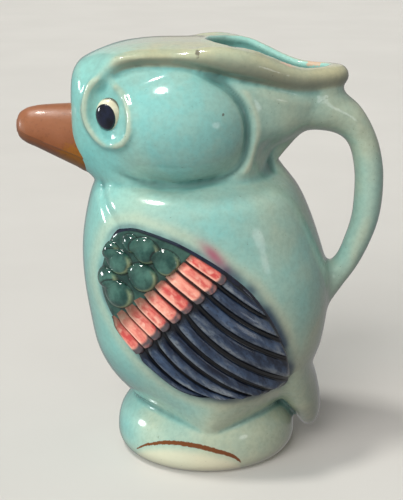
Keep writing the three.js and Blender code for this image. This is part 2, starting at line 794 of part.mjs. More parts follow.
const bodyShell = bodyOuter.subtract(bodySolid(-WALL)).subtract(aboveNeck(-SEAM / 2));
const eyeCuts = ballGap.add(lidGap);
const headShell = headOuter
  .subtract(headSolid(-WALL))
  .subtract(mouthPrism())
  .intersect(aboveNeck(SEAM / 2))
  .subtract(rimGap)
  .subtract(eyeCuts)
  .subtract(right(eyeCuts));
const rimShape = coil(0);
const beakPiece = beakSolid().subtract(headGap).subtract(rimGap);
const handleShape = handleSolid().subtract(headGap).subtract(bodyGap).subtract(rimGap);
const footShape = footSolid(0).subtract(bodyGap);
const footGap = footSolid(SEAM);
const tailShape = tailSolid().subtract(bodyGap).subtract(footGap);

const bedShape = outlineColumn(0).intersect(bodySolid(SEAM + WING_BED)).subtract(bodyGap);
const onBed = bodySolid(2 * SEAM + WING_BED);
const featherColumn = outlineColumn(WING_BORDER);
const covertShape = coverts(0).intersect(featherColumn).subtract(onBed);
const bandShape = band(0).intersect(featherColumn).subtract(onBed).subtract(coverts(SEAM));
const primaryShape = primaries().intersect(featherColumn).subtract(onBed).subtract(band(SEAM));

const model = new THREE.Group();
model.name = "bird_pitcher";

function add(name, shape, look) {
  const geometry = geometryOf(largest(shape));
  geometry.computeVertexNormals();
  const mesh = new THREE.Mesh(geometry, new THREE.MeshStandardMaterial(look));
  mesh.name = name;
  model.add(mesh);
  return mesh;
}

function addPair(name, shape, look) {
  const left = add(`left_${name}`, shape, look);
  const other = left.clone();
  other.name = `right_${name}`;
  other.scale.y = -1;
  model.add(other);
}

add("foot", footShape, TURQUOISE);
add("body_shell", bodyShell, TURQUOISE);
add("head_shell", headShell, TURQUOISE);
add("rim_roll", rimShape, TURQUOISE);
add("beak", beakPiece, BROWN);
add("handle", handleShape, TURQUOISE);
add("tail", tailShape, TURQUOISE);
addPair("eye_ring", lidShape, TURQUOISE);
addPair("eyeball", ball, CREAM);
addPair("pupil", pupilShape, INK);
addPair("wing_bed", bedShape, INK);
addPair("wing_coverts", covertShape, GREEN);
addPair("wing_band", bandShape, CORAL);
addPair("wing_primaries", primaryShape, SLATE);

export default model;
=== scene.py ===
"""Looks of a bird-shaped pitcher in turquoise glaze, with painted wings in relief.

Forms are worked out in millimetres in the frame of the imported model: +Z up, the bird faces -X and
its left side is -Y. A finished piece is scaled to metres, with its object at the origin.
"""

import math

import bmesh
import bpy
import numpy as np
from mathutils import Matrix, Vector, kdtree


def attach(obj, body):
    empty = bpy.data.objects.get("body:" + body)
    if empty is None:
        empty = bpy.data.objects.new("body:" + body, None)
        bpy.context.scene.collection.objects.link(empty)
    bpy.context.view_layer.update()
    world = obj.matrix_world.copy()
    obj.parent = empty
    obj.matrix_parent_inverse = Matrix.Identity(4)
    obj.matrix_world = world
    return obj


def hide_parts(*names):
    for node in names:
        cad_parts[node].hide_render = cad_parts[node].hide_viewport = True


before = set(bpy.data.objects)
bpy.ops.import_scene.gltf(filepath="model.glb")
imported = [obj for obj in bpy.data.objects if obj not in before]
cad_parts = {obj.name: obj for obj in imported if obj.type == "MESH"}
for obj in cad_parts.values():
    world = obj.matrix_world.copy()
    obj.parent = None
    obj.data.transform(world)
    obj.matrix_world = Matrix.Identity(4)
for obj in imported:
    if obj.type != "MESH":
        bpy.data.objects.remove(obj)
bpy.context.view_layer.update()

MM = 0.001
WELD = 1e-3
VOXEL, COARSE_VOXEL, HOLLOW_VOXEL = 0.9, 1.2, 2.0  # clay is fused at this fineness
WALL, HEAD_WALL = 5.0, 8.0

# Foot: a cushion, rounder above its widest line than below it
FOOT_X, FOOT_RADIUS, FOOT_BULGE_Z, FOOT_DOME, FOOT_SQUARENESS = 2.3, 44.0, 8.0, 26.0, 2.6
FOOT_CONTACT_RADIUS, FOOT_RING_WIDTH, FOOT_RECESS = 37.0, 6.0, 2.5

# Body: height share from floor to neck, then chest, back and width shares
BODY_FLOOR_Z, BODY_CHEST, BODY_BACK, BODY_WIDTH = 14.0, 57.0, 62.0, 103.0
BODY_SQUARENESS, KEEL_SQUARENESS, KEEL_LOW_Z, KEEL_HIGH_Z = 2.2, 1.5, 24.0, 60.0
NECK_Z, NECK_TILT, NECK_OVERRUN = 141.8, math.radians(6.9), 10.0
BODY_SHAPE = [
    [0, 0.36, 0.45, 0.7], [0.035, 0.44, 0.53, 0.785], [0.055, 0.49, 0.58, 0.805], [0.1, 0.59, 0.69, 0.85],
    [0.19, 0.765, 0.84, 0.905], [0.3, 0.885, 0.935, 0.951], [0.45, 0.956, 0.99, 1], [0.6, 1, 0.985, 1],
    [0.73, 1, 0.91, 0.956], [0.87, 0.947, 0.8, 0.885], [0.92, 0.915, 0.745, 0.825], [0.95, 0.885, 0.7, 0.73],
    [0.975, 0.86, 0.66, 0.61], [1, 0.83, 0.62, 0.51], [1.08, 0.76, 0.52, 0.42],
]

# Head: length share from forehead to nape, then underside and top below the crown, and width
HEAD_FRONT, HEAD_BACK, HEAD_CROWN_Z, HEAD_DEPTH, HEAD_WIDTH = 61.0, 66.0, 201.3, 89.0, 63.0
HEAD_TOP_SQUARENESS, HEAD_UNDER_SQUARENESS = 3.0, 2.4
HEAD_SHAPE = [
    [0, 0.487, 0.261, 0.127], [0.0055, 0.576, 0.195, 0.317], [0.024, 0.644, 0.127, 0.508],
    [0.079, 0.73, 0.071, 0.714], [0.165, 0.868, 0.028, 0.873], [0.283, 0.981, 0.004, 0.968],
    [0.417, 1, 0, 1], [0.559, 0.97, 0.021, 0.96], [0.654, 0.868, 0.06, 0.88], [0.74, 0.6775, 0.099, 0.77],
    [0.819, 0.537, 0.133, 0.62], [0.898, 0.419, 0.154, 0.44], [0.961, 0.329, 0.176, 0.3],
    [0.99, 0.283, 0.193, 0.17], [1, 0.257, 0.21, 0.08],
]
CHEEK = Vector((-8.5, 12.0, 163.5))  # middle of the right cheek
CHEEK_RADII = Vector((34.2, 31.5, 29.0))
CHEEK_AHEAD = 38.5  # reach of the cheek toward the beak
CREASE_LINE = [  # x, z of the groove behind and under the cheek, from the top down
    [1, 189], [8.3, 185.8], [15.5, 179.6], [20.1, 171.6], [21.5, 161.4], [19.4, 150.3], [13.5, 143.6],
    [0, 139.6], [-15, 138], [-28, 140.3], [-41, 145], [-50, 150],
]
# The last value is the width of the painted shade along this crease.
CREASE_DEPTH, CREASE_WIDTH, CREASE_LOW_SHARE, CREASE_SHADE_WIDTH = 2.5, 1.3, 0.55, 1.1
RIDGE_LINE = [  # x, z of the low ridge behind the groove, which also runs back under the rim
    [49, 173.6], [35.7, 176.8], [26.4, 180.4], [18.5, 181.5], [21.9, 176.3], [24.8, 169], [25.6, 161.4],
    [23.6, 151.6], [20.4, 144.4],
]
RIDGE_HEIGHT, RIDGE_WIDTH = 1.0, 2.0
BREAST_LINE = [[-47, 137], [-44.8, 130], [-41.5, 124.5], [-38, 120]]  # x, z of the step beside the shoulder
BREAST_DEPTH, BREAST_WIDTH = 1.5, 1.5
NAPE_X, NAPE_Z, NAPE_DEPTH, NAPE_LENGTH, NAPE_HEIGHT, NAPE_STEEPNESS = 34.0, 151.0, 6.0, 11.0, 12.0, 1.6

# Mouth and rim: plan of the mouth, and the coil's middle line from the back of the mouth to the brow
MOUTH_FRONT_X, MOUTH_LENGTH, MOUTH_WIDTH, MOUTH_SILL_Z = 1.0, 59.5, 43.0, 176.0
LIP_RADIUS, LIP_DROP, LIP_REACH = 2.0, 1.5, 1.5  # small bead on the inner edge of the mouth
MOUTH_SHAPE = [
    [0, 0], [0.024, 0.32], [0.098, 0.64], [0.215, 0.94], [0.371, 1], [0.541, 0.85], [0.692, 0.69],
    [0.842, 0.47], [0.947, 0.28], [1, 0],
]
RIM_COURSE = [  # x, half width, z, radius
    [63.5, 0, 184.4, 5.3], [61.8, 3.8, 184.3, 5.2], [57, 7.8, 184, 5.15], [50.5, 11.8, 184, 5.15],
    [44.6, 15.4, 184.6, 5.2], [35.4, 19.3, 187.3, 5.5], [26, 22.3, 190.7, 6.1], [17, 24.2, 193.4, 6.5],
    [8, 24.8, 195.3, 6.1], [-0.7, 24.5, 195.7, 5.0], [-6, 23.8, 195.8, 4.3], [-12, 23.2, 195.8, 3.9],
    [-20, 22.8, 195.8, 3.7], [-28, 22.6, 195.6, 3.6], [-36.6, 22.4, 193.6, 3.4], [-42, 22.6, 190, 3.0],
    [-45.6, 22.6, 187.2, 2.7], [-49.2, 22.3, 183.4, 2.4], [-51.4, 22, 179, 2.1],
]
HOOD_FRONT_X, HOOD_BACK_X, HOOD_CROWN_Z, HOOD_SQUARENESS, HOOD_SINK = -47.5, 16.0, 201.3, 2.8, 3.5
HOOD_OVERHANG, HOOD_DROP, HOOD_EDGE = 3.0, 1.6, 0.6
RIM_UNDER_LINE = [  # x, z of the groove below the rim and the brow
    [-46, 179.8], [-41.6, 185.6], [-36.2, 190.1], [-27.2, 192.2], [-18.4, 192.8], [-9.5, 192.7],
    [-0.7, 190.8], [8.2, 187.8], [17.1, 186], [26.2, 183.9], [35.3, 181.1], [44.7, 178.7], [54.2, 178.2],
]
RIM_UNDER_DEPTH, RIM_UNDER_WIDTH, RIM_UNDER_SOFT = 1.8, 1.5, 3.2
LID_COURSE = [  # x, z, radius: under the eye and up behind it
    [-52.3, 173.3, 2.4], [-51.8, 167.4, 2.2], [-49.4, 162.4, 2.1], [-44.7, 157.6, 2.0], [-40.5, 156.9, 2.0],
    [-35.7, 158.7, 1.9], [-32.4, 163.3, 1.8], [-31.7, 168.7, 1.7], [-32.4, 174.4, 1.6], [-35.7, 180.1, 1.5],
    [-39.8, 184.4, 1.3], [-42.6, 187.2, 1.0],
]

# Beak: root to tip, then top, gape edge, underside below the beak's top, and width
BEAK_TIP, BEAK_ROOT, BEAK_TOP_Z, BEAK_HEIGHT, BEAK_WIDTH = 87.0, 52.0, 172.0, 34.0, 31.0
BEAK_SQUARENESS, BEAK_LAP = 1.75, 0.05  # the lower half stands back by the lap
BEAK_SHAPE = [
    [0, 0, 0.72, 1, 1], [0.229, 0.02, 0.641, 0.891, 0.935], [0.514, 0.035, 0.538, 0.747, 0.794],
    [0.743, 0.059, 0.456, 0.632, 0.645], [0.886, 0.106, 0.403, 0.565, 0.503],
    [0.971, 0.182, 0.362, 0.488, 0.297], [1, 0.25, 0.338, 0.426, 0.116],
]

# Eye
EYE_X, EYE_Z, EYE_WIDTH, EYE_HEIGHT, EYE_DOME, EYE_SINK = -42.0, 170.7, 12.5, 15.0, 4.5, 1.4
SOCKET_DEPTH, SOCKET_WIDTH, SOCKET_HEIGHT = 1.6, 9.5, 13.0
PUPIL_WIDTH, PUPIL_HEIGHT, PUPIL_FORWARD, PUPIL_DROP, PUPIL_THICKNESS = 10.4, 12.4, 0.85, 1.2, 0.35

# Handle: shares of its reach and height from the upper root down
HANDLE_BACK, HANDLE_THICKNESS, HANDLE_WIDTH, HANDLE_SQUARENESS = 86.8, 13.8, 17.0, 1.9
HANDLE_TOP_Z, HANDLE_LOW_Z, HANDLE_ROOT_X = 171.0, 73.0, 50.0
HANDLE_TOP_FLARE, HANDLE_LOW_FLARE, HANDLE_TOP_BLEND, HANDLE_LOW_BLEND = 1.75, 1.5, 0.27, 0.22
HANDLE_SLIM, HANDLE_SLIM_FROM, HANDLE_SLIM_TO = 0.13, 0.45, 0.75
HANDLE_COURSE = [
    [0, 1], [0.33, 0.975], [0.64, 0.92], [0.86, 0.83], [0.98, 0.7], [1, 0.58], [0.965, 0.45], [0.87, 0.345],
    [0.71, 0.235], [0.5, 0.14], [0.24, 0.06], [0, 0],
]

# Tail: course of its middle, then width and thickness
TAIL_COURSE = [
    [36, 56, 74, 24], [41.5, 44, 68, 24], [47.5, 31.5, 54, 21], [52, 21, 38, 15.5], [53.2, 13, 22, 10.5],
    [52.6, 8.8, 8, 5],
]

# Wings: along runs from the shoulder to the tip, across runs up
WING_X, WING_Z, WING_LENGTH, WING_CENTRE = -37.0, 118.0, 109.0, np.array([52.32, -4.9])
WING_SLOPE, WING_BED, WING_BED_EDGE, WING_BORDER = math.radians(44.3), 1.2, 1.6, 2.0
WING_BED_SINK, WING_BED_OVERRUN = 0.9, 0.004  # the bed goes into the body at its outline and just past it
WING_KEY = 0.5  # how far the feathers and scales reach into the body
WING_OUTLINE = [
    [-2.4, -3], [-1.8, 2.4], [1.4, 7.4], [7, 11.5], [18.7, 17.4], [32, 21.4], [46, 24], [61, 24.4],
    [78.6, 20.4], [93.8, 13.6], [104.4, 5.6], [107.8, 0], [101.9, -7.6], [93.7, -16.6], [83, -25.6],
    [70.2, -32.4], [55.7, -34.3], [40, -34.5], [25, -31.4], [13, -26.4], [5.8, -19.6], [1, -11.4],
]
SCALES = [  # along, across, radius
    [3.3, -7.8, 4.2], [7, 2.5, 3.8], [11.5, -18, 4.6], [9.4, -8, 5.3], [13.5, 5, 5.5], [19.7, -18.8, 6],
    [20.9, -4.7, 6], [23.1, 7.9, 5.5],
]
COVERT_PAD, COVERT_HEIGHT, COVERT_TO = 0.7, 3.4, 28.0
CORAL_LINES = [  # along and across where each line between two feathers starts, then where it ends
    [24.2, -32, 44.4, -33.6], [25.4, -27.7, 44.7, -28.4], [24.8, -22.3, 44.5, -22.2], [25, -16.4, 44, -16.4],
    [26, -10.9, 44, -10.4], [26.4, -4.8, 44.4, -3.7], [26.5, 1.9, 44.8, 3.3], [27.5, 8.4, 45.8, 10],
    [27.5, 14, 46.6, 16.8], [27.3, 18.7, 46.3, 22.4],
]
CORAL_TIP, CORAL_NOTCH, CORAL_HEIGHT, CORAL_GROOVE = 0.9, 2.4, 2.5, 0.15
FLIGHT_LINES = [  # along and across at five places on each line, lowest line first
    [[46.4, -34.4], [53.4, -34.3], [61.2, -33.8], [69.4, -32.4], [77.2, -29.1]],
    [[45.8, -29.6], [54.9, -30.4], [64.4, -29.8], [74.3, -27.5], [83.4, -23.6]],
    [[45.8, -22.9], [55.3, -24.2], [66.9, -24.4], [78.7, -22.1], [92.5, -16.3]],
    [[46, -17.6], [56.8, -18.5], [70.2, -18.2], [83.4, -16.2], [96, -12]],
    [[45.6, -10.9], [56.3, -11.7], [69.5, -11.4], [84.2, -9.4], [101.5, -5.6]],
    [[46.3, -3.8], [56.7, -4.9], [71.9, -4.5], [87.4, -1.9], [105, 2.6]],
    [[47.4, 3.4], [59.5, 3.3], [72, 4.9], [82.9, 7.6], [97.5, 11.2]],
    [[47.4, 10.2], [56.5, 10.6], [65.5, 11.6], [74.3, 13.1], [87, 16]],
    [[47.4, 16.4], [54.9, 17.1], [61.3, 17.9], [66.4, 18.6], [74, 20]],
    [[47, 21.6], [51.8, 22], [56.4, 22.3], [60.8, 22.5], [66, 22.6]],
]
FLIGHT_FROM, FLIGHT_TO, FLIGHT_LEAD, FLIGHT_HEIGHT, FLIGHT_GROOVE = 42.5, 49.0, 5.0, 2.6, 0.25
FEATHER_FLOOR = 0.15

# Painted and worn places: middle and radii, or x, z and half width of a brush line
FOOT_LINE = [
    [-32, 6.2, 0.35], [-29, 9.4, 0.6], [-24.2, 12.7, 0.8], [-13, 15.9, 1.1], [-2.1, 15.4, 1.2],
    [8.7, 12.6, 1.2], [14.5, 10, 1.1], [17.6, 7.4, 1.0], [19.2, 5.2, 0.7],
]
FOOT_LINE_TOP = 20.0
BARE_PATCHES = [((36, -18, 192), (8, 3.5, 2)), ((54, 8, 189), (6.5, 4, 2.2))]
IRON_SPOTS = [((-1.6, -27, 198), (1.3, 3, 2.2)), ((9.6, -40, 172.6), (0.7, 6, 0.7))]

# Colour run from the wings, with a paler ring beyond it, and a pink place given along and across
STAIN_MARGIN, STAIN_REACH, STAIN_RUN = 12.0, 1.3, 1.6
HALO_PLACE, HALO_WIDTH, HALO_SHARE = 3.5, 3.0, 0.7
PINK_PLACE, PINK_SPREAD = (35.0, 24.8), (7.5, 2.6)

# Where the glaze has run thin: x, then z, each from none to all
RIM_THIN, HOOD_THIN, RIM_THIN_EDGE = (-44, -30, 176, 184), (-48, -14, 194, 197.5), 0.9

# Where the sides are worked: distance from the middle plane, from none to all
CHEEK_SIDE, EYE_SIDE, BREAST_SIDE = (7, 13), (16, 20), (12, 20)
RIM_SIDE, NAPE_SIDE, TEMPLE_SIDE = (7, 11), (6, 11), (8, 14)

# Where joins are evened out: x from, to and blend, then z from, to and blend
TEMPLE, JOWL = (-48, -36, 7, 168, 194, 6), (-52, -34, 7, 140, 162, 6)
HANDLE_ROOT, HANDLE_END = (46, 66, 8, 146, 176, 6), (56, 68, 6, 62, 98, 8)
TAIL_ROOT = (32, 52, 6, 32, 56, 6)
HOOD_TOP, BROW_FOLD = (-46, -6, 5, 195.8, 197.4), (-54, -42, 4, 184, 190)  # z from none to all
FACE_ROUNDS, HOOD_ROUNDS, ROOT_ROUNDS, GROOVE_ROUNDS = 140, 70, 70, 14

# How deep the seams sink, and more so at the top of the foot: z from, to and blend
SEAM_FROM, SEAM_MOST, SEAM_SINK, FOOT_SEAM_SINK, FOOT_SEAM = 0.05, 0.8, 1.1, 1.3, (14, 38, 5)

# How far the forms that part the lump stand out beyond the clay
BODY_GROW, HEAD_GROW, TAIL_GROW, FOOT_GROW, HANDLE_GROW = 0.6, 0.6, 3.0, 0.4, 4.0
FOOT_BLOCK = (-60, -60, -5), (60, 60, 40)

# Fineness of body and skull: rings, and points round each
RINGS, AROUND = 110, 144

# Glaze colours, in sRGB from 0 to 255
TURQUOISE, OATMEAL, CLOUDED, POOLED = (128, 182, 176), (176, 186, 162), (150, 176, 162), (100, 172, 168)
# The last colour on the next line darkens the lower tail: painted shade.
FACE_TURQUOISE, WORN_THIN, TAIL_SHADE_OLIVE = (108, 184, 180), (190, 188, 160), (120, 122, 108)
# On the next line the last colour is painted shade under rim and hood, and the first paints the inside of the
# mouth lighter as well as turquoise.
MOUTH_TURQUOISE_LIT, RIM_BEIGE, RIM_UNDERSIDE_SHADE = (142, 206, 198), (180, 174, 138), (114, 118, 102)
# The first colour on the next line is painted shade in creases and where forms meet.
CREASE_SHADE_TEAL, GREY_GREEN, BARE_CLAY = (56, 92, 88), (96, 116, 104), (206, 168, 140)
IRON, SPECK, BLUE_RUN, PINK_RUN = (84, 74, 66), (80, 72, 62), (34, 56, 80), (156, 76, 100)
FOOT_CREAM, FOOT_EDGE, BRUSH_BROWN = (222, 212, 182), (214, 206, 176), (112, 62, 28)
BEAK_BROWN, BEAK_TAN, BEAK_AMBER, BEAK_FLECK = (112, 58, 24), (146, 92, 62), (132, 80, 22), (84, 46, 26)
CREAM, PALE_CREAM, EYE_LINE = (206, 198, 170), (222, 216, 192), (52, 44, 40)
INK, INK_BLUE = (12, 14, 22), (26, 32, 52)
# The last two colours on the next line are painted highlights: down each feather's middle and along its
# raised edge.
CORAL, CORAL_PINK, CORAL_HIGHLIGHT, CORAL_RIDGE_HIGHLIGHT = (196, 76, 72), (236, 154, 134), (250, 202, 178), (250, 196, 172)
# On the next line the first colour is painted shade at the feathers' roots, and the last is the dark of the
# gaps, with painted shadow under each raised edge.
CORAL_ROOT_SHADE, CORAL_END, CORAL_GAP_AND_SHADE = (66, 62, 46), (62, 66, 72), (20, 15, 18)
# The last two colours on the next line are pale glaze streaks laid where painted highlights fall, and a
# painted highlight along each raised edge.
SLATE, SLATE_BLUE, SLATE_STREAK_AND_SHEEN, SLATE_RIDGE_HIGHLIGHT = (12, 20, 38), (60, 80, 108), (136, 140, 138), (124, 128, 132)
# The last colour on the next line is the dark of the gaps, with painted shadow under each raised edge and
# under the coral row.
SLATE_FLECK, SLATE_GAP_AND_SHADE = (22, 28, 42), (6, 7, 10)
BOTTLE, SEA_GREEN, SCALE_EDGE = (26, 62, 56), (72, 110, 98), (152, 164, 122)
# The last colour on the next line darkens between and round the scales, partly as painted shade.
SCALE_FLECK, SCALE_GAP_AND_SHADE = (24, 44, 38), (14, 26, 24)
FLOOR_GREY, FLOOR_PALE = (200, 197, 192), (204, 201, 196)

# Studio: name, kind, place, size or angle, power, colour, and where a lamp shows
LAMPS = [
    ("ceiling_key", "SUN", (-0.3, -0.08, 0.95), math.radians(9), 1.45, (1.0, 0.98, 0.94), "both"),
    ("room_fill", "SUN", (-0.36, -0.71, 0.6), math.radians(45), 3.05, (1.0, 0.99, 0.97), "colour"),
    ("left_daylight", "SUN", (-0.95, -0.25, 0.2), math.radians(40), 1.1, (0.4, 0.9, 1.0), "colour"),
    ("window_light", "AREA", (-1.37, 0.12, 0.4), 0.3, 3.4, (0.95, 0.98, 1.0), "gloss"),
    ("side_window", "AREA", (1.02, -0.9, 0.36), 0.28, 0.4, (0.95, 0.98, 1.0), "gloss"),
    ("wall_glow", "AREA", (0.0, 5.0, 2.4), 4.0, 15.0, (1.0, 0.97, 0.86), "gloss"),
]
LAMP_TARGET, FLOOR_RADIUS = Vector((0, 0, 0.1)), 8.0
ROOM_COLOUR, ROOM_GLOW, BACKDROP_GLOW = (1.0, 0.985, 0.975, 1), 0.27, 0.4

# Camera of the photograph's view
CAMERA_PLACE, CAMERA_PITCH = (0.0, -0.590, 0.2773), math.radians(73.2)
CAMERA_LENS, CAMERA_SENSOR = 91.44, 36.0


# Curves


def graded(rows):
    """Smooth curves through rows of [place, values...], held level beyond the ends."""
    rows = np.array(rows, float)
    place, value = rows[:, 0], rows[:, 1:]
    step = np.diff(place)
    secant = np.diff(value, axis=0) / step[:, None]
    level = np.zeros_like(secant[:1])
    slope = np.vstack([level, (secant[:-1] + secant[1:]) / 2, level])

    def at(x):
        x = np.clip(np.asarray(x, float), place[0], place[-1])
        i = np.clip(np.searchsorted(place, x, "right") - 1, 0, len(step) - 1)
        t = ((x - place[i]) / step[i])[..., None]
        d = step[i][..., None]
        start = (1 + 2 * t) * (1 - t) ** 2 * value[i] + t * (1 - t) ** 2 * d * slope[i]
        end = t * t * (3 - 2 * t) * value[i + 1] + t * t * (t - 1) * d * slope[i + 1]
        return np.moveaxis(start + end, -1, 0)

    return at


def course(points, count, closed=False):
    """Even points along a smooth line through the given ones; any further columns go along."""
    points = np.array(points, float)
    if closed:
        points = np.vstack([points[-3:], points, points[:4]])
    reach = np.sqrt(np.linalg.norm(np.diff(points[:, :3], axis=0), axis=1))
    knots = np.concatenate([[0], np.cumsum(reach)])
    lead, tail = 2 * points[:1] - points[1:2], 2 * points[-1:] - points[-2:-1]
    ends = np.concatenate([[-reach[0]], knots, [knots[-1] + reach[-1]]])
    at = graded(np.column_stack([ends, np.vstack([lead, points, tail])]))
    first, last = (knots[3], knots[-4]) if closed else (knots[0], knots[-1])
    fine = at(np.linspace(first, last, 2000)).T
    length = np.concatenate([[0], np.cumsum(np.linalg.norm(np.diff(fine[:, :3], axis=0), axis=1))])
    even = np.linspace(0, length[-1], count, endpoint=not closed)
    return np.column_stack([np.interp(even, length, column) for column in fine.T])


def rounded(value, squareness):
    return np.sign(value) * np.abs(value) ** (2 / squareness)


def turn(count):
    return np.arange(count) / count * 2 * math.pi


def ease(value, low, high):
    share = np.clip((value - low) / (high - low), 0, 1)
    return share * share * (3 - 2 * share)


def within(value, low, high, blend):
    """One between two limits, easing to nothing beyond them."""
    return ease(value, low - blend, low) * (1 - ease(value, high, high + blend))


def zone(x, z, limits):
    """One within limits seen from the side of the pitcher."""
    return within(x, *limits[:3]) * within(z, *limits[3:])


def zone_above(x, z, limits):
    """One within limits of x, from a height up."""
    return within(x, *limits[:3]) * ease(z, *limits[3:])


def bell(distance, width):
    return np.exp(-((distance / width) ** 2))


# Forms in clay


def skin(rings):
    """Closed form over rings of points, shut at both ends."""
    rows, around = rings.shape[:2]
    form = bmesh.new()
    bmesh.ops.create_grid(form, x_segments=around, y_segments=rows - 1, size=1)
    for v in form.verts:
        i = round((v.co.x + 1) / 2 * around) % around
        j = round((v.co.y + 1) / 2 * (rows - 1))
        v.co = rings[j, i]
    bmesh.ops.remove_doubles(form, verts=form.verts, dist=WELD)
    bmesh.ops.holes_fill(form, edges=[e for e in form.edges if e.is_boundary], sides=0)
    bmesh.ops.recalc_face_normals(form, faces=form.faces)
    return form


def ball(centre, radii, segments=64):
    form = bmesh.new()
    bmesh.ops.create_uvsphere(form, u_segments=segments, v_segments=segments // 2, radius=1)
    bmesh.ops.scale(form, vec=radii, verts=form.verts)
    bmesh.ops.translate(form, vec=centre, verts=form.verts)
    return form


def tube(path, radii, around):
    """Coil of round section along a path of points."""
    ahead = np.gradient(path, axis=0)
    ahead /= np.linalg.norm(ahead, axis=1)[:, None]
    side = np.cross(ahead[0], (0.3, 0.2, 0.9))
    rings = []
    for centre, along, radius in zip(path, ahead, radii):
        side = side - along * (side @ along)
        side = side / np.linalg.norm(side)
        lift = np.cross(along, side)
        a = turn(around)[:, None]
        rings.append(centre + radius * (np.cos(a) * side + np.sin(a) * lift))
    return skin(np.array(rings))


def strap(path, thickness, width, around, squareness=2.0):
    """Bar along a path in the middle plane, with its own thickness and width at each point."""
    ahead = np.gradient(path, axis=0)
    ahead /= np.linalg.norm(ahead, axis=1)[:, None]
    out = np.column_stack([-ahead[:, 2], 0 * ahead[:, 0], ahead[:, 0]])
    a = turn(around)
    reach = rounded(np.cos(a), squareness)[None, :] * (thickness / 2)[:, None]
    rings = path[:, None, :] + reach[:, :, None] * out[:, None, :]
    rings[:, :, 1] += rounded(np.sin(a), squareness)[None, :] * (width / 2)[:, None]
    return skin(rings)


def as_mesh(*forms):
    """One mesh holding the forms, which are freed."""
    whole = bmesh.new()
    for form in forms:
        part = bpy.data.meshes.new("part")
        form.to_mesh(part)
        form.free()
        whole.from_mesh(part)
        bpy.data.meshes.remove(part)
    mesh = bpy.data.meshes.new("clay")
    whole.to_mesh(mesh)
    whole.free()
    return mesh


def as_form(mesh):
    form = bmesh.new()
    form.from_mesh(mesh)
    return form


def worked(mesh, kind, **settings):
    """The mesh after one modifier."""
    lump = bpy.data.objects.new("lump", mesh)
    bpy.context.scene.collection.objects.link(lump)
    tool = lump.modifiers.new("tool", kind)
    for name, value in settings.items():
        setattr(tool, name, value)
    graph = bpy.context.evaluated_depsgraph_get()
    made = bpy.data.meshes.new_from_object(lump.evaluated_get(graph))
    bpy.data.objects.remove(lump)
    return made


def fused(mesh, voxel=VOXEL):
    return worked(mesh, "REMESH", mode="VOXEL", voxel_size=voxel, adaptivity=0)


def cut(mesh, knife, operation="DIFFERENCE"):
    other = bpy.data.objects.new("knife", knife)
    bpy.context.scene.collection.objects.link(other)
    made = worked(mesh, "BOOLEAN", operation=operation, solver="MANIFOLD", object=other)
    bpy.data.objects.remove(other)
    return made


def places(mesh):
    co = np.empty(len(mesh.vertices) * 3, np.float32)
    mesh.vertices.foreach_get("co", co)
    return co.reshape(-1, 3).astype(float)


def facing(mesh):
    normal = np.empty(len(mesh.vertices) * 3, np.float32)
    mesh.vertex_normals.foreach_get("vector", normal)
    return normal.reshape(-1, 3).astype(float)


def move_to(mesh, co):
    mesh.vertices.foreach_set("co", co.astype(np.float32).ravel())
    mesh.update()


def links(mesh):
    ends = np.empty(len(mesh.edges) * 2, np.int32)
    mesh.edges.foreach_get("vertices", ends)
    return ends.reshape(-1, 2)


def neighbours_mean(value, ends, count):
    total = np.zeros_like(value)
    for a, b in ((0, 1), (1, 0)):
        for k in range(value.shape[1]):
            total[:, k] += np.bincount(ends[:, a], value[ends[:, b], k], len(value))
    return total / count[:, None]


def spread(mesh, values, rounds, share=1.0):
    """Values of the vertices, drawn by a share toward their neighbours' mean in each round."""
    ends = links(mesh)
    count = np.bincount(ends.ravel(), minlength=len(values)).astype(float)
    for _ in range(rounds):
        values = values + share * (neighbours_mean(values, ends, count) - values)
    return values


def relax(mesh, rounds, weight=None):
    """Evens the clay out, by a weight for each vertex where one is given."""
    share = 0.5 if weight is None else 0.5 * weight[:, None]
    move_to(mesh, spread(mesh, places(mesh), rounds, share))


def curvature(mesh, rounds):
    """How far each vertex stands out of (positive) or lies in (negative) what is round it, in mm."""
    co = places(mesh)
    bend = (facing(mesh) * (co - spread(mesh, co, rounds, 0.5))).sum(1)
    return spread(mesh, bend[:, None], 4)[:, 0]


# Body, head and what is luted on


body_shape = graded(BODY_SHAPE)
head_shape = graded(HEAD_SHAPE)
beak_shape = graded(BEAK_SHAPE)


def body_at(z):
    chest, back, width = body_shape((np.asarray(z) - BODY_FLOOR_Z) / (NECK_Z - BODY_FLOOR_Z))
    return chest * BODY_CHEST, back * BODY_BACK, width * BODY_WIDTH / 2


def body_squareness(z):
    return KEEL_SQUARENESS + (BODY_SQUARENESS - KEEL_SQUARENESS) * ease(z, KEEL_LOW_Z, KEEL_HIGH_Z)


def body_form(grow=0.0):
    low, high = BODY_FLOOR_Z - grow, NECK_Z + NECK_OVERRUN
    share = np.linspace(0, 1, RINGS) ** 1.2
    z = low + (high - low) * share
    chest, back, half = (size[:, None] for size in body_at(np.maximum(z, BODY_FLOOR_Z)))
    a = turn(AROUND)[None, :]
    squareness = body_squareness(z)[:, None]
    x = (back - chest) / 2 + rounded(np.cos(a), squareness) * ((chest + back) / 2 + grow)
    y = rounded(np.sin(a), squareness) * (half + grow)
    return skin(np.stack([x, y, np.broadcast_to(z[:, None], x.shape)], -1))


def body_side(x, z):
    """Reach of the body's left side at x and z."""
    chest, back, half = body_at(z)
    share = np.abs((x - (back - chest) / 2) / ((chest + back) / 2))
    squareness = body_squareness(z)
    return -half * np.maximum(1 - share**squareness, 0.02) ** (1 / squareness)


def side_facing(side, x, z, step=0.5):
    along = (side(x + step, z) - side(x - step, z)) / (2 * step)
    up = (side(x, z + step) - side(x, z - step)) / (2 * step)
    out = np.stack([along, -np.ones_like(along), up], -1)
    return out / np.linalg.norm(out, axis=-1, keepdims=True)


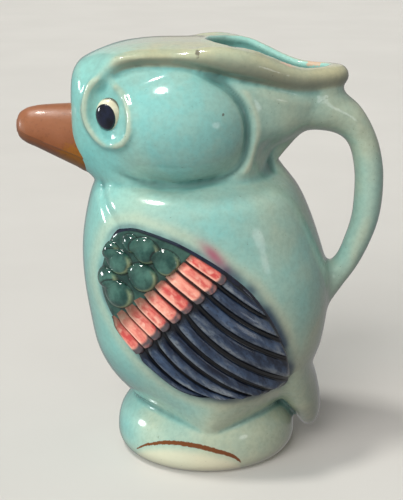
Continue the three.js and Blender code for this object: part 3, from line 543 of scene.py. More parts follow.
def head_at(x):
    under, top, width = head_shape((np.asarray(x) + HEAD_FRONT) / (HEAD_FRONT + HEAD_BACK))
    low, high = HEAD_CROWN_Z - under * HEAD_DEPTH, HEAD_CROWN_Z - top * HEAD_DEPTH
    return (low + high) / 2, (high - low) / 2, width * HEAD_WIDTH / 2


def head_point(x, angle, grow):
    middle, rise, half = head_at(x)
    squareness = np.where(np.sin(angle) > 0, HEAD_TOP_SQUARENESS, HEAD_UNDER_SQUARENESS)
    y = -rounded(np.cos(angle), squareness) * (half + grow)
    z = middle + rounded(np.sin(angle), squareness) * (rise + grow)
    return np.stack(np.broadcast_arrays(x, y, z), -1)


def head_forms(grow=0.0):
    """Skull and both cheeks."""
    eased = (1 - np.cos(np.linspace(0, 1, RINGS) * math.pi)) / 2
    inset = min(grow, 0.0)
    section = -HEAD_FRONT - inset + (HEAD_FRONT + HEAD_BACK + 2 * inset) * eased
    rings = head_point(section[:, None], turn(AROUND)[None, :], grow)
    rings[:, :, 0] = (-HEAD_FRONT - grow + (HEAD_FRONT + HEAD_BACK + 2 * grow) * eased)[:, None]
    cheeks = [ball((0, 0, 0), CHEEK_RADII + Vector((grow, grow, grow))) for _ in range(2)]
    for cheek, side in zip(cheeks, (1, -1)):
        ahead = [v for v in cheek.verts if v.co.x < 0]
        bmesh.ops.scale(cheek, vec=(CHEEK_AHEAD / CHEEK_RADII.x, 1, 1), verts=ahead)
        bmesh.ops.translate(cheek, vec=(CHEEK.x, side * CHEEK.y, CHEEK.z), verts=cheek.verts)
    return [skin(rings), *cheeks]


def head_side(x, z):
    """Reach of the head's left side at x and z: the skull or the cheek, whichever stands out."""
    middle, rise, half = head_at(x)
    squareness = np.where(z > middle, HEAD_TOP_SQUARENESS, HEAD_UNDER_SQUARENESS)
    share = np.minimum(np.abs((z - middle) / rise), 0.99)
    skull = half * (1 - share**squareness) ** (1 / squareness)
    reach = np.where(x < CHEEK.x, CHEEK_AHEAD, CHEEK_RADII.x)
    ahead, above = (x - CHEEK.x) / reach, (z - CHEEK.z) / CHEEK_RADII.z
    dome = CHEEK.y + CHEEK_RADII.y * np.sqrt(np.maximum(1 - ahead**2 - above**2, 0))
    return -np.maximum(skull, dome)


def rim_line():
    """Course of one coil: round the mouth, down the brow, under each eye and up behind it."""
    rim = np.array(RIM_COURSE, float) * (1, -1, 1, 1)
    lid = np.array(LID_COURSE, float)
    on_lid = np.column_stack([lid[:, 0], head_side(lid[:, 0], lid[:, 1]), lid[:, 1:]])
    left = np.vstack([rim, on_lid])
    right = left[1:] * (1, -1, 1, 1)
    return course(np.vstack([left[::-1], right]), 420)


def rim_form():
    line = rim_line()
    return tube(line[:, :3], line[:, 3], 28)


def hood_form():
    """Domed crown ahead of the mouth, which rolls over into both brows."""
    rim = np.array(RIM_COURSE[::-1], float)
    x = np.linspace(HOOD_FRONT_X, HOOD_BACK_X, 50)
    half, middle, _ = graded(rim[rim[:, 0] < 20])(x)
    skull, rise, _ = head_at(x)
    crown = np.where(x > -24, HOOD_CROWN_Z, skull + rise)
    crown = crown - HOOD_SINK * (1 - ease(x, HOOD_FRONT_X, HOOD_FRONT_X + 4))
    a = turn(64)[None, :]
    middle = middle - HOOD_DROP
    y = rounded(np.cos(a), HOOD_SQUARENESS) * (half + HOOD_OVERHANG)[:, None]
    lift = np.where(np.sin(a) > 0, (crown - middle)[:, None], HOOD_EDGE)
    z = middle[:, None] + rounded(np.sin(a), HOOD_SQUARENESS) * lift
    return skin(np.stack([np.broadcast_to(x[:, None], y.shape), y, z], -1))


def mouth_plan():
    half = np.array(MOUTH_SHAPE, float) * (MOUTH_LENGTH, MOUTH_WIDTH / 2) + (MOUTH_FRONT_X, 0)
    plan = np.vstack([half, half[-2:0:-1] * (1, -1)])
    return course(np.column_stack([plan, np.zeros(len(plan))]), 96, closed=True)


def mouth_form():
    return skin(np.array([mouth_plan() + (0, 0, z) for z in (MOUTH_SILL_Z, HEAD_CROWN_Z + 20)]))


def lip_form(opened):
    """Small bead that rolls the edge of the cut mouth inward."""
    x, y, z = places(opened).T
    line = mouth_plan()
    line[:, 2] = [z[np.hypot(x - at_x, y - at_y) < LIP_REACH].max() - LIP_DROP for at_x, at_y, _ in line]
    line = course(line[::2], 160, closed=True)
    return tube(np.vstack([line, line[:4]]), np.full(len(line) + 4, LIP_RADIUS), 20)


def handle_line(count):
    back = HANDLE_BACK - HANDLE_THICKNESS / 2
    points = np.array(HANDLE_COURSE, float)
    x = HANDLE_ROOT_X + points[:, 0] * (back - HANDLE_ROOT_X)
    z = HANDLE_LOW_Z + points[:, 1] * (HANDLE_TOP_Z - HANDLE_LOW_Z)
    return course(np.column_stack([x, 0 * x, z]), count)


def handle_form(grow=0.0):
    share = np.linspace(0, 1, 130)
    size = 1 - HANDLE_SLIM * ease(share, HANDLE_SLIM_FROM, HANDLE_SLIM_TO)
    size = size + (HANDLE_TOP_FLARE - 1) * (1 - ease(share, 0, HANDLE_TOP_BLEND))
    size = size + (HANDLE_LOW_FLARE - 1) * ease(share, 1 - HANDLE_LOW_BLEND, 1)
    thickness, width = size * HANDLE_THICKNESS + 2 * grow, size * HANDLE_WIDTH + 2 * grow
    return strap(handle_line(len(share)), thickness, width, 48, HANDLE_SQUARENESS)


def tail_form(grow=0.0):
    rows = np.array(TAIL_COURSE, float)
    line = course(np.column_stack([rows[:, 0], 0 * rows[:, 0], rows[:, 1:]]), 60)
    return strap(line[:, :3], line[:, 4] + 2 * grow, line[:, 3] + 2 * grow, 64)


def foot_form(grow=0.0):
    inner = FOOT_CONTACT_RADIUS - FOOT_RING_WIDTH
    a = np.linspace(0, math.pi / 2, 24)
    roll = FOOT_CONTACT_RADIUS + (FOOT_RADIUS - FOOT_CONTACT_RADIUS) * np.sin(a) + grow
    roll_z = FOOT_BULGE_Z * (1 - np.cos(a))
    dome = (FOOT_RADIUS + grow) * rounded(np.cos(a), FOOT_SQUARENESS)
    dome_z = FOOT_BULGE_Z + (FOOT_DOME + grow) * rounded(np.sin(a), FOOT_SQUARENESS)
    outline = [(0, 0, FOOT_RECESS), (inner - FOOT_RECESS, 0, FOOT_RECESS), (inner, 0, 0)]
    outline += [(r, 0, z) for r, z in zip(roll[:-1], roll_z)]
    outline += [(r, 0, z) for r, z in zip(dome, dome_z)]
    form = bmesh.new()
    verts = [form.verts.new(p) for p in outline]
    edges = [form.edges.new(ends) for ends in zip(verts, verts[1:])]
    bmesh.ops.spin(form, geom=verts + edges, axis=(0, 0, 1), angle=2 * math.pi, steps=128, use_merge=True)
    bmesh.ops.remove_doubles(form, verts=form.verts, dist=WELD)
    bmesh.ops.recalc_face_normals(form, faces=form.faces)
    bmesh.ops.translate(form, vec=(FOOT_X, 0, 0), verts=form.verts)
    return form


def block(low, high):
    form = bmesh.new()
    bmesh.ops.create_cube(form, size=1)
    low, high = Vector(low), Vector(high)
    bmesh.ops.scale(form, vec=high - low, verts=form.verts)
    bmesh.ops.translate(form, vec=(low + high) / 2, verts=form.verts)
    return form


def above_neck():
    form = block((-300, -300, 0), (300, 300, 300))
    tilt = Vector((0, 1, 0))
    bmesh.ops.rotate(form, cent=(0, 0, 0), matrix=Matrix.Rotation(-NECK_TILT, 3, tilt), verts=form.verts)
    bmesh.ops.translate(form, vec=(0, 0, NECK_Z), verts=form.verts)
    return form


def throw_clay():
    """The whole pitcher in one lump, evened out as under a thick glaze, with the mouth sunk in its top."""
    face = fused(as_mesh(*head_forms()))
    x, y, z = places(face).T
    folds = np.maximum(zone(x, z, TEMPLE), zone(x, z, JOWL))
    relax(face, FACE_ROUNDS, folds * ease(np.abs(y), *TEMPLE_SIDE))
    limbs = handle_form(), tail_form(), foot_form()
    outside = as_mesh(as_form(face), body_form(), rim_form(), hood_form(), *limbs)
    opened = cut(fused(outside), as_mesh(mouth_form()))
    lump = fused(as_mesh(as_form(opened), lip_form(opened)))
    x, y, z = places(lump).T
    relax(lump, HOOD_ROUNDS, np.maximum(zone_above(x, z, HOOD_TOP), zone_above(x, z, BROW_FOLD)))
    roots = [zone(x, z, limits) for limits in (HANDLE_ROOT, HANDLE_END, TAIL_ROOT)]
    relax(lump, ROOT_ROUNDS, np.maximum.reduce(roots))
    shape_face(lump)
    x, y, z = places(lump).T
    under_rim = bell(from_line(x, z, RIM_UNDER_LINE), RIM_UNDER_SOFT)
    relax(lump, GROOVE_ROUNDS, under_rim * ease(np.abs(y), *RIM_SIDE))
    relax(lump, 4)
    sink = np.clip(-curvature(lump, 12) - SEAM_FROM, 0, SEAM_MOST)
    sink *= SEAM_SINK + FOOT_SEAM_SINK * within(places(lump)[:, 2], *FOOT_SEAM)
    move_to(lump, places(lump) - spread(lump, facing(lump) * sink[:, None], 3))
    relax(lump, 2)
    return lump


def from_line(x, z, rows):
    """Distance of points from a line drawn on the side of the pitcher."""
    line = course(np.column_stack([np.array(rows, float), np.zeros(len(rows))]), 60)[:, :2]
    nearest = np.full(x.shape, np.inf)
    for (ax, az), (bx, bz) in zip(line, line[1:]):
        dx, dz = bx - ax, bz - az
        t = np.clip(((x - ax) * dx + (z - az) * dz) / (dx * dx + dz * dz), 0, 1)
        nearest = np.minimum(nearest, np.hypot(x - ax - t * dx, z - az - t * dz))
    return nearest


def shape_face(lump):
    """Presses the sockets, the creases behind the cheeks and the hollow of the nape into the soft clay."""
    co, out = places(lump), spread(lump, facing(lump), 5)
    x, y, z = co.T
    side = np.abs(y)
    from_eye = np.hypot((x - EYE_X) / SOCKET_WIDTH, (z - EYE_Z) / SOCKET_HEIGHT)
    socket = SOCKET_DEPTH * (1 - ease(from_eye, 0.35, 1.0)) * ease(side, *EYE_SIDE) * (z > 150) * (x < -20)
    outer = ease(side, *CHEEK_SIDE) * within(z, 136, 186, 4)
    crease = CREASE_DEPTH * bell(from_line(x, z, CREASE_LINE), CREASE_WIDTH) * outer * ease(x, -46, -30)
    crease *= CREASE_LOW_SHARE + (1 - CREASE_LOW_SHARE) * ease(z, 140, 148)
    ridge = RIDGE_HEIGHT * bell(from_line(x, z, RIDGE_LINE), RIDGE_WIDTH) * outer * (1 - ease(z, 181, 184))
    breast = BREAST_DEPTH * bell(from_line(x, z, BREAST_LINE), BREAST_WIDTH) * ease(side, *BREAST_SIDE)
    under_rim = RIM_UNDER_DEPTH * bell(from_line(x, z, RIM_UNDER_LINE), RIM_UNDER_WIDTH)
    under_rim *= ease(side, *RIM_SIDE) * np.abs(out[:, 1])
    from_nape = np.hypot((x - NAPE_X) / NAPE_LENGTH, (z - NAPE_Z) / NAPE_HEIGHT)
    nape = NAPE_DEPTH * np.exp(-(from_nape**2) * NAPE_STEEPNESS) * ease(side, *NAPE_SIDE)
    outside = out[:, 1] * np.sign(y) > 0.1
    push = (socket + crease + breast + under_rim + nape - ridge) * outside
    move_to(lump, co - out * spread(lump, push[:, None], 4))


def hollow_mesh():
    """Space inside body and head."""
    made = fused(as_mesh(body_form(-WALL), *head_forms(-HEAD_WALL)), HOLLOW_VOXEL)
    relax(made, 10)
    return made


# Wings


def wing_course(points, count, closed=False):
    return course([[along, across, 0] for along, across in points], count, closed)[:, :2]


def flight_line(points):
    """Line between two long feathers, led in under the coral row."""
    along, across = points[0]
    return wing_course([[along - FLIGHT_LEAD, across], *points], 80)


wing_line = wing_course(WING_OUTLINE, 400, closed=True)
flight_lines = np.array([flight_line(points) for points in FLIGHT_LINES])


def on_wing(along, across, lift):
    """Points over the body's left side at a place on the wing."""
    x = WING_X + along * math.cos(WING_SLOPE) + across * math.sin(WING_SLOPE)
    z = WING_Z - along * math.sin(WING_SLOPE) + across * math.cos(WING_SLOPE)
    base = np.stack([x, body_side(x, z), z], -1)
    return base + side_facing(body_side, x, z) * np.asarray(lift)[..., None]


def inside_wing(along, across):
    """Distance inside the wing's outline, negative beyond it."""
    px, py = along.ravel(), across.ravel()
    nearest = np.full(px.shape, 1e9)
    enclosed = np.zeros(px.shape, bool)
    for (ax, ay), (bx, by) in zip(wing_line, np.roll(wing_line, -1, 0)):
        dx, dy = bx - ax, by - ay
        t = np.clip(((px - ax) * dx + (py - ay) * dy) / (dx * dx + dy * dy), 0, 1)
        nearest = np.minimum(nearest, np.hypot(px - ax - t * dx, py - ay - t * dy))
        crosses = (ay > py) != (by > py)
        if dy:
            enclosed ^= crosses & (px < ax + (py - ay) / dy * dx)
    return np.where(enclosed, nearest, -nearest).reshape(along.shape)


def slab(top, under, marks):
    """Closed sheet between two nets of points, with a value for each mark at each point."""
    rows, columns = top.shape[:2]
    form = bmesh.new()
    layers = {name: form.verts.layers.float.new(name) for name in marks}
    row_of = form.verts.layers.int.new("row")
    column_of = form.verts.layers.int.new("column")
    bmesh.ops.create_grid(form, x_segments=columns - 1, y_segments=rows - 1, size=1)
    for v in form.verts:
        v[column_of] = round((v.co.x + 1) / 2 * (columns - 1))
        v[row_of] = round((v.co.y + 1) / 2 * (rows - 1))
        v.co = top[v[row_of], v[column_of]]
        for name, layer in layers.items():
            v[layer] = float(marks[name][v[row_of], v[column_of]])
    made = bmesh.ops.extrude_face_region(form, geom=form.faces[:], use_keep_orig=True)
    for v in made["geom"]:
        if isinstance(v, bmesh.types.BMVert):
            v.co = under[v[row_of], v[column_of]]
    form.verts.layers.int.remove(form.verts.layers.int["row"])
    form.verts.layers.int.remove(form.verts.layers.int["column"])
    bmesh.ops.recalc_face_normals(form, faces=form.faces)
    return form


def plaque_form():
    """Bed of the wing: a low cushion within the outline."""
    # Measured from the outline, so that one row lies exactly on it and all of that row sinks
    inward = np.append(1 - np.linspace(0, 1, 30), -WING_BED_OVERRUN)[:, None, None]
    flat = wing_line + (WING_CENTRE - wing_line) * inward
    edge = inside_wing(flat[..., 0], flat[..., 1])
    lift = WING_BED * np.sqrt(np.clip(edge / WING_BED_EDGE, 0, 1)) - WING_BED_SINK * (edge <= 0)
    return skin(on_wing(flat[..., 0], flat[..., 1], lift))


def feather_row(count, place, steps, height, groove):
    """Row of lapped feathers: each stands highest along its lower edge and dips under the next."""
    flank, vane = np.linspace(0.0, 1.6 * groove, 10), np.linspace(1.8 * groove, 0.84, 9)
    profile = np.concatenate([flank, vane, [0.89, 0.93, 0.965, 0.99]])
    row = (np.arange(count)[:, None] + profile[None, :]).ravel()
    rows, runs = np.meshgrid(row, np.linspace(0, 1, steps), indexing="ij")
    share = rows - np.floor(rows)
    along, across = keep_in_wing(*place(rows, runs))
    crown = ease(share, 0.55 * groove, 1.4 * groove) * (1 - 0.55 * ease(share, 1.6 * groove, 1.05))
    crown *= 1 - 0.7 * ease(share, 0.87, 0.98)
    # ridge and mid mark painted highlights along each feather's raised edge and down its middle; groove marks
    # the dark gaps, with painted shadow under each raised edge.
    marks = {
        "ridge": bell(share - 1.5 * groove, 0.11),
        "mid_highlight": bell(share - 0.52, 0.24),
        "tone": (np.floor(rows) * 0.62 + 0.2) % 1,
        "groove": np.maximum(1 - ease(share, 0.75 * groove, 1.2 * groove), ease(share, 0.88, 0.97)),
    }
    marks["groove"] = np.maximum(marks["groove"], 1 - ease(inside_wing(along, across), 1.6, 2.6))
    return along, across, runs, FEATHER_FLOOR + height * crown, marks


def coral_place(row, run):
    lines = np.array(CORAL_LINES, float)
    columns = [np.interp(row, np.arange(len(lines)), column) for column in lines.T]
    root_along, root_across, tip_along, tip_across = columns
    notch = CORAL_TIP - CORAL_NOTCH * np.abs(2 * (row - np.floor(row)) - 1) ** 2.4
    along = root_along + (tip_along + notch - root_along) * run
    return along, root_across + (tip_across - root_across) * run


def flight_place(row, run):
    line = np.floor(row).astype(int)
    step = np.round(run * (flight_lines.shape[1] - 1)).astype(int)
    part = (row - line)[..., None]
    at = flight_lines[line, step] * (1 - part) + flight_lines[line + 1, step] * part
    return at[..., 0], at[..., 1]


def keep_in_wing(along, across):
    """Draws points that lie beyond the wing's border back to it."""
    spoke = wing_line - WING_CENTRE
    reach = np.linalg.norm(spoke, axis=1) - WING_BORDER
    angle = np.arctan2(spoke[:, 1], spoke[:, 0])
    order = np.argsort(angle)
    ahead, up = along - WING_CENTRE[0], across - WING_CENTRE[1]
    limit = np.interp(np.arctan2(up, ahead), angle[order], reach[order], period=2 * math.pi)
    pull = np.minimum(1, limit / np.maximum(np.hypot(ahead, up), WELD))
    return WING_CENTRE[0] + ahead * pull, WING_CENTRE[1] + up * pull


def wing_slab(along, across, lift, marks):
    """Relief on the wing, keyed into the body under it."""
    under = on_wing(along, across, np.full_like(lift, -WING_KEY))
    return slab(on_wing(along, across, lift), under, marks)


def coral_form():
    made = feather_row(len(CORAL_LINES) - 1, coral_place, 44, CORAL_HEIGHT, CORAL_GROOVE)
    along, across, runs, lift, marks = made
    lift = WING_BED + lift * (1 - 0.7 * ease(runs, 0.95, 1.0)) * (0.45 + 0.55 * ease(runs, 0.0, 0.25))
    marks["groove"] = np.maximum(marks["groove"], ease(runs, 0.965, 1))
    marks["tip"] = ease(runs, 0.76, 0.86)
    # root: painted shade at the roots of the coral feathers under the scale pad, reaching further on the
    # lower feathers.
    deep = COVERT_TO + 3.0 + 5.0 * (1 - ease(across, -24, 4))
    marks["root"] = 1 - ease(along, COVERT_TO - 1, deep)
    return wing_slab(along, across, lift, marks)


def flight_form():
    count, steps = len(FLIGHT_LINES) - 1, flight_lines.shape[1]
    made = feather_row(count, flight_place, steps, FLIGHT_HEIGHT, FLIGHT_GROOVE)
    along, across, runs, lift, marks = made
    lift = WING_BED + lift * (1 - 0.6 * ease(runs, 0.94, 1.0)) * ease(along, FLIGHT_FROM, FLIGHT_TO)
    # root: painted shadow at the roots of the flight feathers under the coral row.
    marks["root"] = 1 - ease(along, FLIGHT_FROM + 2, FLIGHT_TO + 1)
    return wing_slab(along, across, lift, marks)


def covert_form():
    """Shoulder pad with lapped round scales."""
    a, c = np.meshgrid(np.linspace(-3, COVERT_TO, 90), np.linspace(-32, 22, 156), indexing="ij")
    along, across = keep_in_wing(a, c)
    pad = WING_BED + COVERT_PAD * ease(inside_wing(along, across), 0.4, 3)
    # The groove mark starts as painted shade over the whole pad, which shows between the scales.
    lift, rim, groove = pad.copy(), np.zeros_like(pad), np.full_like(pad, 0.4)
    for place, side, radius in SCALES:
        back = np.where(along < place, 0.8, 1.0)
        from_middle = np.hypot((along - place) * back, across - side) / radius
        slope = 0.85 + 0.15 * ease(along, place - 1.2 * radius, place + 0.5 * radius)
        over = pad + COVERT_HEIGHT * slope * np.sqrt(np.clip(1 - from_middle**2, 0, 1))
        near = (from_middle < 1) & (over > lift)
        lift = np.where(near, over, lift)
        edge = bell(from_middle - 0.88, 0.09) * ease(along, place - 0.2 * radius, place + 0.6 * radius)
        ring = bell(from_middle - 1.05, 0.07) * (from_middle >= 1)
        # Each scale's back half is painted darker, as shade under the scale before it; beyond its edge lies a
        # dark ring.
        groove = np.where(near, 0.5 * (1 - ease(along, place - radius, place)), np.maximum(groove, ring))
        rim = np.where(near, edge, np.maximum(rim * (from_middle > 1), edge * (from_middle < 1.06)))
    low = ease(COVERT_TO - along, 0, 1.2)
    lift = WING_BED + (lift - WING_BED) * (0.3 + 0.7 * low)
    groove = np.maximum(groove, 1 - ease(inside_wing(along, across), 1.6, 2.8))
    marks = {"ridge": rim, "groove": np.maximum(groove, 1 - low)}
    return wing_slab(along, across, lift, marks)


# Beak and eyes


def beak_form():
    eased = np.sin(np.linspace(0, 1, 70) * math.pi / 2)
    top, edge, under, width = (size[:, None] for size in beak_shape(eased))
    a = turn(96)[None, :]
    reach = np.where(np.sin(a) > 0, edge - top, under - edge) * BEAK_HEIGHT
    lower = 1 - BEAK_LAP * ease(-np.sin(a), 0.0, 0.12)
    y = rounded(np.cos(a), BEAK_SQUARENESS) * width * BEAK_WIDTH / 2 * lower
    z = BEAK_TOP_Z - edge * BEAK_HEIGHT + rounded(np.sin(a), BEAK_SQUARENESS) * reach
    x = np.broadcast_to(-(BEAK_ROOT + (BEAK_TIP - BEAK_ROOT) * eased)[:, None], y.shape)
    return skin(np.stack([x, y, z], -1))


def eye_frame():
    out = Vector(side_facing(head_side, np.array(EYE_X), np.array(EYE_Z)))
    middle = Vector((EYE_X, float(head_side(np.array(EYE_X), np.array(EYE_Z))), EYE_Z))
    up = (Vector((0, 0, 1)) - out * out.z).normalized()
    forward = out.cross(up)
    return middle - out * EYE_SINK, forward, out, up


def set_in_socket(form):
    middle, forward, out, up = eye_frame()
    turned = Matrix((forward, out, up)).transposed()
    bmesh.ops.transform(form, matrix=turned.to_4x4(), verts=form.verts)
    bmesh.ops.translate(form, vec=middle, verts=form.verts)
    return form


def eye_form():
    """Domed ball set in the left socket, with a dark line round its back edge."""
    form = ball((0, 0, 0), (EYE_WIDTH / 2, EYE_DOME, EYE_HEIGHT / 2), 64)
    line = form.verts.layers.float.new("line")
    for v in form.verts:
        u, w = v.co.x / (EYE_WIDTH / 2), v.co.z / (EYE_HEIGHT / 2)
        v[line] = float(ease(math.hypot(u, w), 0.9, 0.96) * ease(0.5 * w - u, -0.2, 0.3))
    return set_in_socket(form)


def pupil_form():
    """Dark patch that lies on the ball."""
    ring = np.concatenate([np.linspace(0.001, 0.93, 14), [0.97, 1.0, 1.0, 0.5, 0.001]])[:, None]
    lift = np.concatenate([np.full(14, 1.0), [0.75, 0.2, -1.5, -2, -2]])[:, None] * PUPIL_THICKNESS
    a = turn(64)[None, :]
    u = PUPIL_FORWARD + ring * np.cos(a) * PUPIL_WIDTH / 2
    w = -PUPIL_DROP + ring * np.sin(a) * PUPIL_HEIGHT / 2
    reach = (u / (EYE_WIDTH / 2)) ** 2 + (w / (EYE_HEIGHT / 2)) ** 2
    out = EYE_DOME * np.sqrt(np.maximum(1 - reach, 0.02)) + lift
    return set_in_socket(skin(np.stack([u, out, w], -1)))


# Glazes


def node(tree, kind, inputs=None, **settings):
    made = tree.nodes.new(kind)
    for name, value in settings.items():
        setattr(made, name, value)
    for name, value in (inputs or {}).items():
        if isinstance(value, bpy.types.NodeSocket):
            tree.links.new(value, made.inputs[name])
        else:
            made.inputs[name].default_value = value
    return made


def linear(colour):
    """Colour for a socket, from an sRGB one."""
    shares = [value / 255 for value in colour]
    return (*(v / 12.92 if v <= 0.04045 else ((v + 0.055) / 1.055) ** 2.4 for v in shares), 1.0)


class Glaze:
    """Small helper that lays out the nodes of one glaze."""

    def __init__(self, name, roughness=0.15, coat=0.5):
        self.material = bpy.data.materials.new(name)
        self.material.use_nodes = True
        self.tree = self.material.node_tree
        self.shader = self.tree.nodes["Principled BSDF"]
        self.shader.inputs["Roughness"].default_value = roughness
        self.shader.inputs["Coat Weight"].default_value = coat
        self.shader.inputs["Coat Roughness"].default_value = 0.06
        self.place = node(self.tree, "ShaderNodeTexCoord").outputs["Object"]

    def noise(self, scale, detail=3.0, rough=0.55, drawn=1.0):
        """Cloudy noise, drawn out along the feathers of a wing where asked."""
        place = self.place
        if drawn != 1.0:
            lay = {"Vector": place, "Rotation": (0, WING_SLOPE, 0), "Scale": (drawn, 1, 1)}
            place = node(self.tree, "ShaderNodeMapping", lay, vector_type="TEXTURE").outputs[0]
        grain = {"Vector": place, "Scale": scale, "Detail": detail, "Roughness": rough}
        return node(self.tree, "ShaderNodeTexNoise", grain).outputs["Fac"]

    def mark(self, name):
        return node(self.tree, "ShaderNodeAttribute", attribute_name=name).outputs["Fac"]

    def math(self, operation, a, b=0.0, clamp=False):
        made = node(self.tree, "ShaderNodeMath", {0: a, 1: b}, operation=operation, use_clamp=clamp)
        return made.outputs[0]

    def times(self, a, b):
        return self.math("MULTIPLY", a, b)

    def plus(self, a, b, clamp=False):
        return self.math("ADD", a, b, clamp)

    def span(self, value, low, high, to_low=0.0, to_high=1.0):
        ends = {"Value": value, "From Min": low, "From Max": high, "To Min": to_low, "To Max": to_high}
        return node(self.tree, "ShaderNodeMapRange", ends, interpolation_type="SMOOTHSTEP").outputs[0]

    def clouds(self, noise, to_low=0.0, to_high=1.0):
        """A noise brought to the full span between two values."""
        return self.span(noise, 0.3, 0.7, to_low, to_high)

    def blend(self, share, low, high):
        """A colour between two, by a share from 0 to 1."""
        made = node(self.tree, "ShaderNodeMix", {0: share, 6: linear(low), 7: linear(high)}, data_type="RGBA")
        return made.outputs[2]

    def tint(self, under, over, share, amount=1.0):
        """A colour laid over what is there, where the share is high."""
        if amount != 1.0:
            share = self.times(share, amount)
        made = node(self.tree, "ShaderNodeMix", {0: share, 6: under, 7: linear(over)}, data_type="RGBA")
        return made.outputs[2]

    def axis(self, name):
        return node(self.tree, "ShaderNodeSeparateXYZ", {0: self.place}).outputs[name]

    def patch(self, middle, radii, ragged=0.0):
        """One inside an ellipsoid given in mm, nothing outside it."""
        scale = [1 / (r * MM) for r in radii]
        shift = [-m * MM * k for m, k in zip(middle, scale)]
        lay = {"Vector": self.place, "Location": shift, "Scale": scale}
        near = node(self.tree, "ShaderNodeMapping", lay).outputs[0]
        reach = node(self.tree, "ShaderNodeVectorMath", {0: near}, operation="LENGTH").outputs["Value"]
        if ragged:
            reach = self.plus(reach, self.clouds(self.noise(500, 3), -ragged, ragged))
        return self.span(reach, 0.65, 1.0, 1.0, 0.0)

    def curve(self, value, rows):
        """Height of a drawn line over a value from 0 to 1."""
        made = node(self.tree, "ShaderNodeFloatCurve", {"Value": value})
        points = made.mapping.curves[0].points
        points[0].location, points[1].location = rows[0], rows[-1]
        for place, height in rows[1:-1]:
            points.new(place, height)
        made.mapping.update()
        return made.outputs[0]

    def finish(self, colour, bump=None, depth=0.0002, strength=0.4, roughness=None):
        self.tree.links.new(colour, self.shader.inputs["Base Color"])
        if roughness is not None:
            self.tree.links.new(roughness, self.shader.inputs["Roughness"])
        if bump is not None:
            relief = {"Height": bump, "Strength": strength, "Distance": depth}
            bent = node(self.tree, "ShaderNodeBump", relief).outputs[0]
            self.tree.links.new(bent, self.shader.inputs["Normal"])
        return self.material


def turquoise_glaze(name="turquoise_glaze", on_foot=False):
    g = Glaze(name, coat=0.6)
    broad, cloud, fine = g.noise(16, 2), g.noise(55, 3), g.noise(420, 4, 0.65)
    share = g.plus(g.span(broad, 0.34, 0.66, -0.1, 0.6), g.clouds(cloud, -0.14, 0.16))
    share = g.plus(share, g.span(g.axis("Z"), 0.03, 0.14, 0.4, 0.0))
    share = g.plus(share, g.span(g.axis("X"), 0.0, 0.06, 0.0, 0.25), clamp=True)
    colour = g.blend(share, TURQUOISE, OATMEAL)
    colour = g.tint(colour, CLOUDED, g.span(g.noise(95, 5, 0.65), 0.42, 0.62, 0.0, 0.3))
    colour = g.tint(colour, POOLED, g.mark("pool"), 0.45)
    colour = g.tint(colour, FACE_TURQUOISE, g.span(g.axis("X"), -0.054, -0.018, 0.6, 0.0))
    colour = g.tint(colour, WORN_THIN, g.mark("thin"), 0.65)
    # Darker olive over the back of the lower tail: painted shade.
    tail_shade = g.times(g.span(g.axis("X"), 0.036, 0.056), g.span(g.axis("Z"), 0.024, 0.064, 0.55, 0.0))
    colour = g.tint(colour, TAIL_SHADE_OLIVE, tail_shade)
    # Lighter turquoise inside the mouth: the glaze there is turquoise, and it is also painted lighter as
    # painted light on walls in shade.
    colour = g.tint(colour, MOUTH_TURQUOISE_LIT, g.mark("inside"), 0.7)
    colour = g.tint(colour, RIM_BEIGE, g.mark("crest"), g.clouds(cloud, 0.6, 0.9))
    # Darker olive on the undersides of rim and hood: painted shade.
    colour = g.tint(colour, RIM_UNDERSIDE_SHADE, g.mark("crest_shade"), 0.8)
    # Dark teal in tight creases and along the groove under each cheek: painted shade.
    colour = g.tint(colour, CREASE_SHADE_TEAL, g.mark("crease_shade"), 0.7)
    colour = g.tint(colour, GREY_GREEN, g.span(fine, 0.35, 0.7, 0.0, 0.18))
    if on_foot:
        colour = foot_line(g, colour)
    colour = g.tint(colour, BLUE_RUN, g.mark("blue"), g.span(g.noise(60, 2), 0.35, 0.65, 0.4, 1.0))
    colour = g.tint(colour, PINK_RUN, g.mark("pink"), 0.9)
    for middle, radii in BARE_PATCHES:
        colour = g.tint(colour, BARE_CLAY, g.patch(middle, radii, 0.35), 0.85)
    for middle, radii in IRON_SPOTS:
        colour = g.tint(colour, IRON, g.patch(middle, radii, 0.3), 0.75)
    colour = g.tint(colour, SPECK, g.span(g.noise(900, 1, 0.4), 0.75, 0.8), 0.4)
    waves = g.plus(g.noise(120, 2), g.times(fine, 0.25))
    return g.finish(colour, waves, 0.0003, 0.25, g.clouds(cloud, 0.1, 0.18))


def foot_line(g, colour):
    """Brown brush line on both sides of the foot, over a paler lower edge."""
    low, high = FOOT_LINE[0][0], FOOT_LINE[-1][0]
    share = g.math("DIVIDE", g.math("SUBTRACT", g.axis("X"), low * MM), (high - low) * MM, clamp=True)
    rows = [((x - low) / (high - low), z / FOOT_LINE_TOP) for x, z, _ in FOOT_LINE]
    width = g.curve(share, [((x - low) / (high - low), w) for x, _, w in FOOT_LINE])
    line = g.times(g.curve(share, rows), FOOT_LINE_TOP * MM)
    above = g.math("SUBTRACT", g.axis("Z"), line)
    inside = g.times(g.span(share, 0.0, 0.02), g.span(share, 0.98, 1.0, 1.0, 0.0))
    side = g.times(inside, g.span(g.math("ABSOLUTE", g.axis("Y")), 0.012, 0.018))
    colour = g.tint(colour, FOOT_CREAM, g.span(above, -0.006, 0.0, 0.75, 0.0), side)
    colour = g.tint(colour, FOOT_EDGE, g.span(g.axis("Z"), 0.0, 0.014, 0.385, 0.0))
    off = g.plus(g.math("ABSOLUTE", above), g.clouds(g.noise(700, 3), -0.0002, 0.0002))
    stroke = g.math("SUBTRACT", g.times(width, MM), off)
    return g.tint(colour, BRUSH_BROWN, g.span(stroke, -0.0001, 0.0003), side)


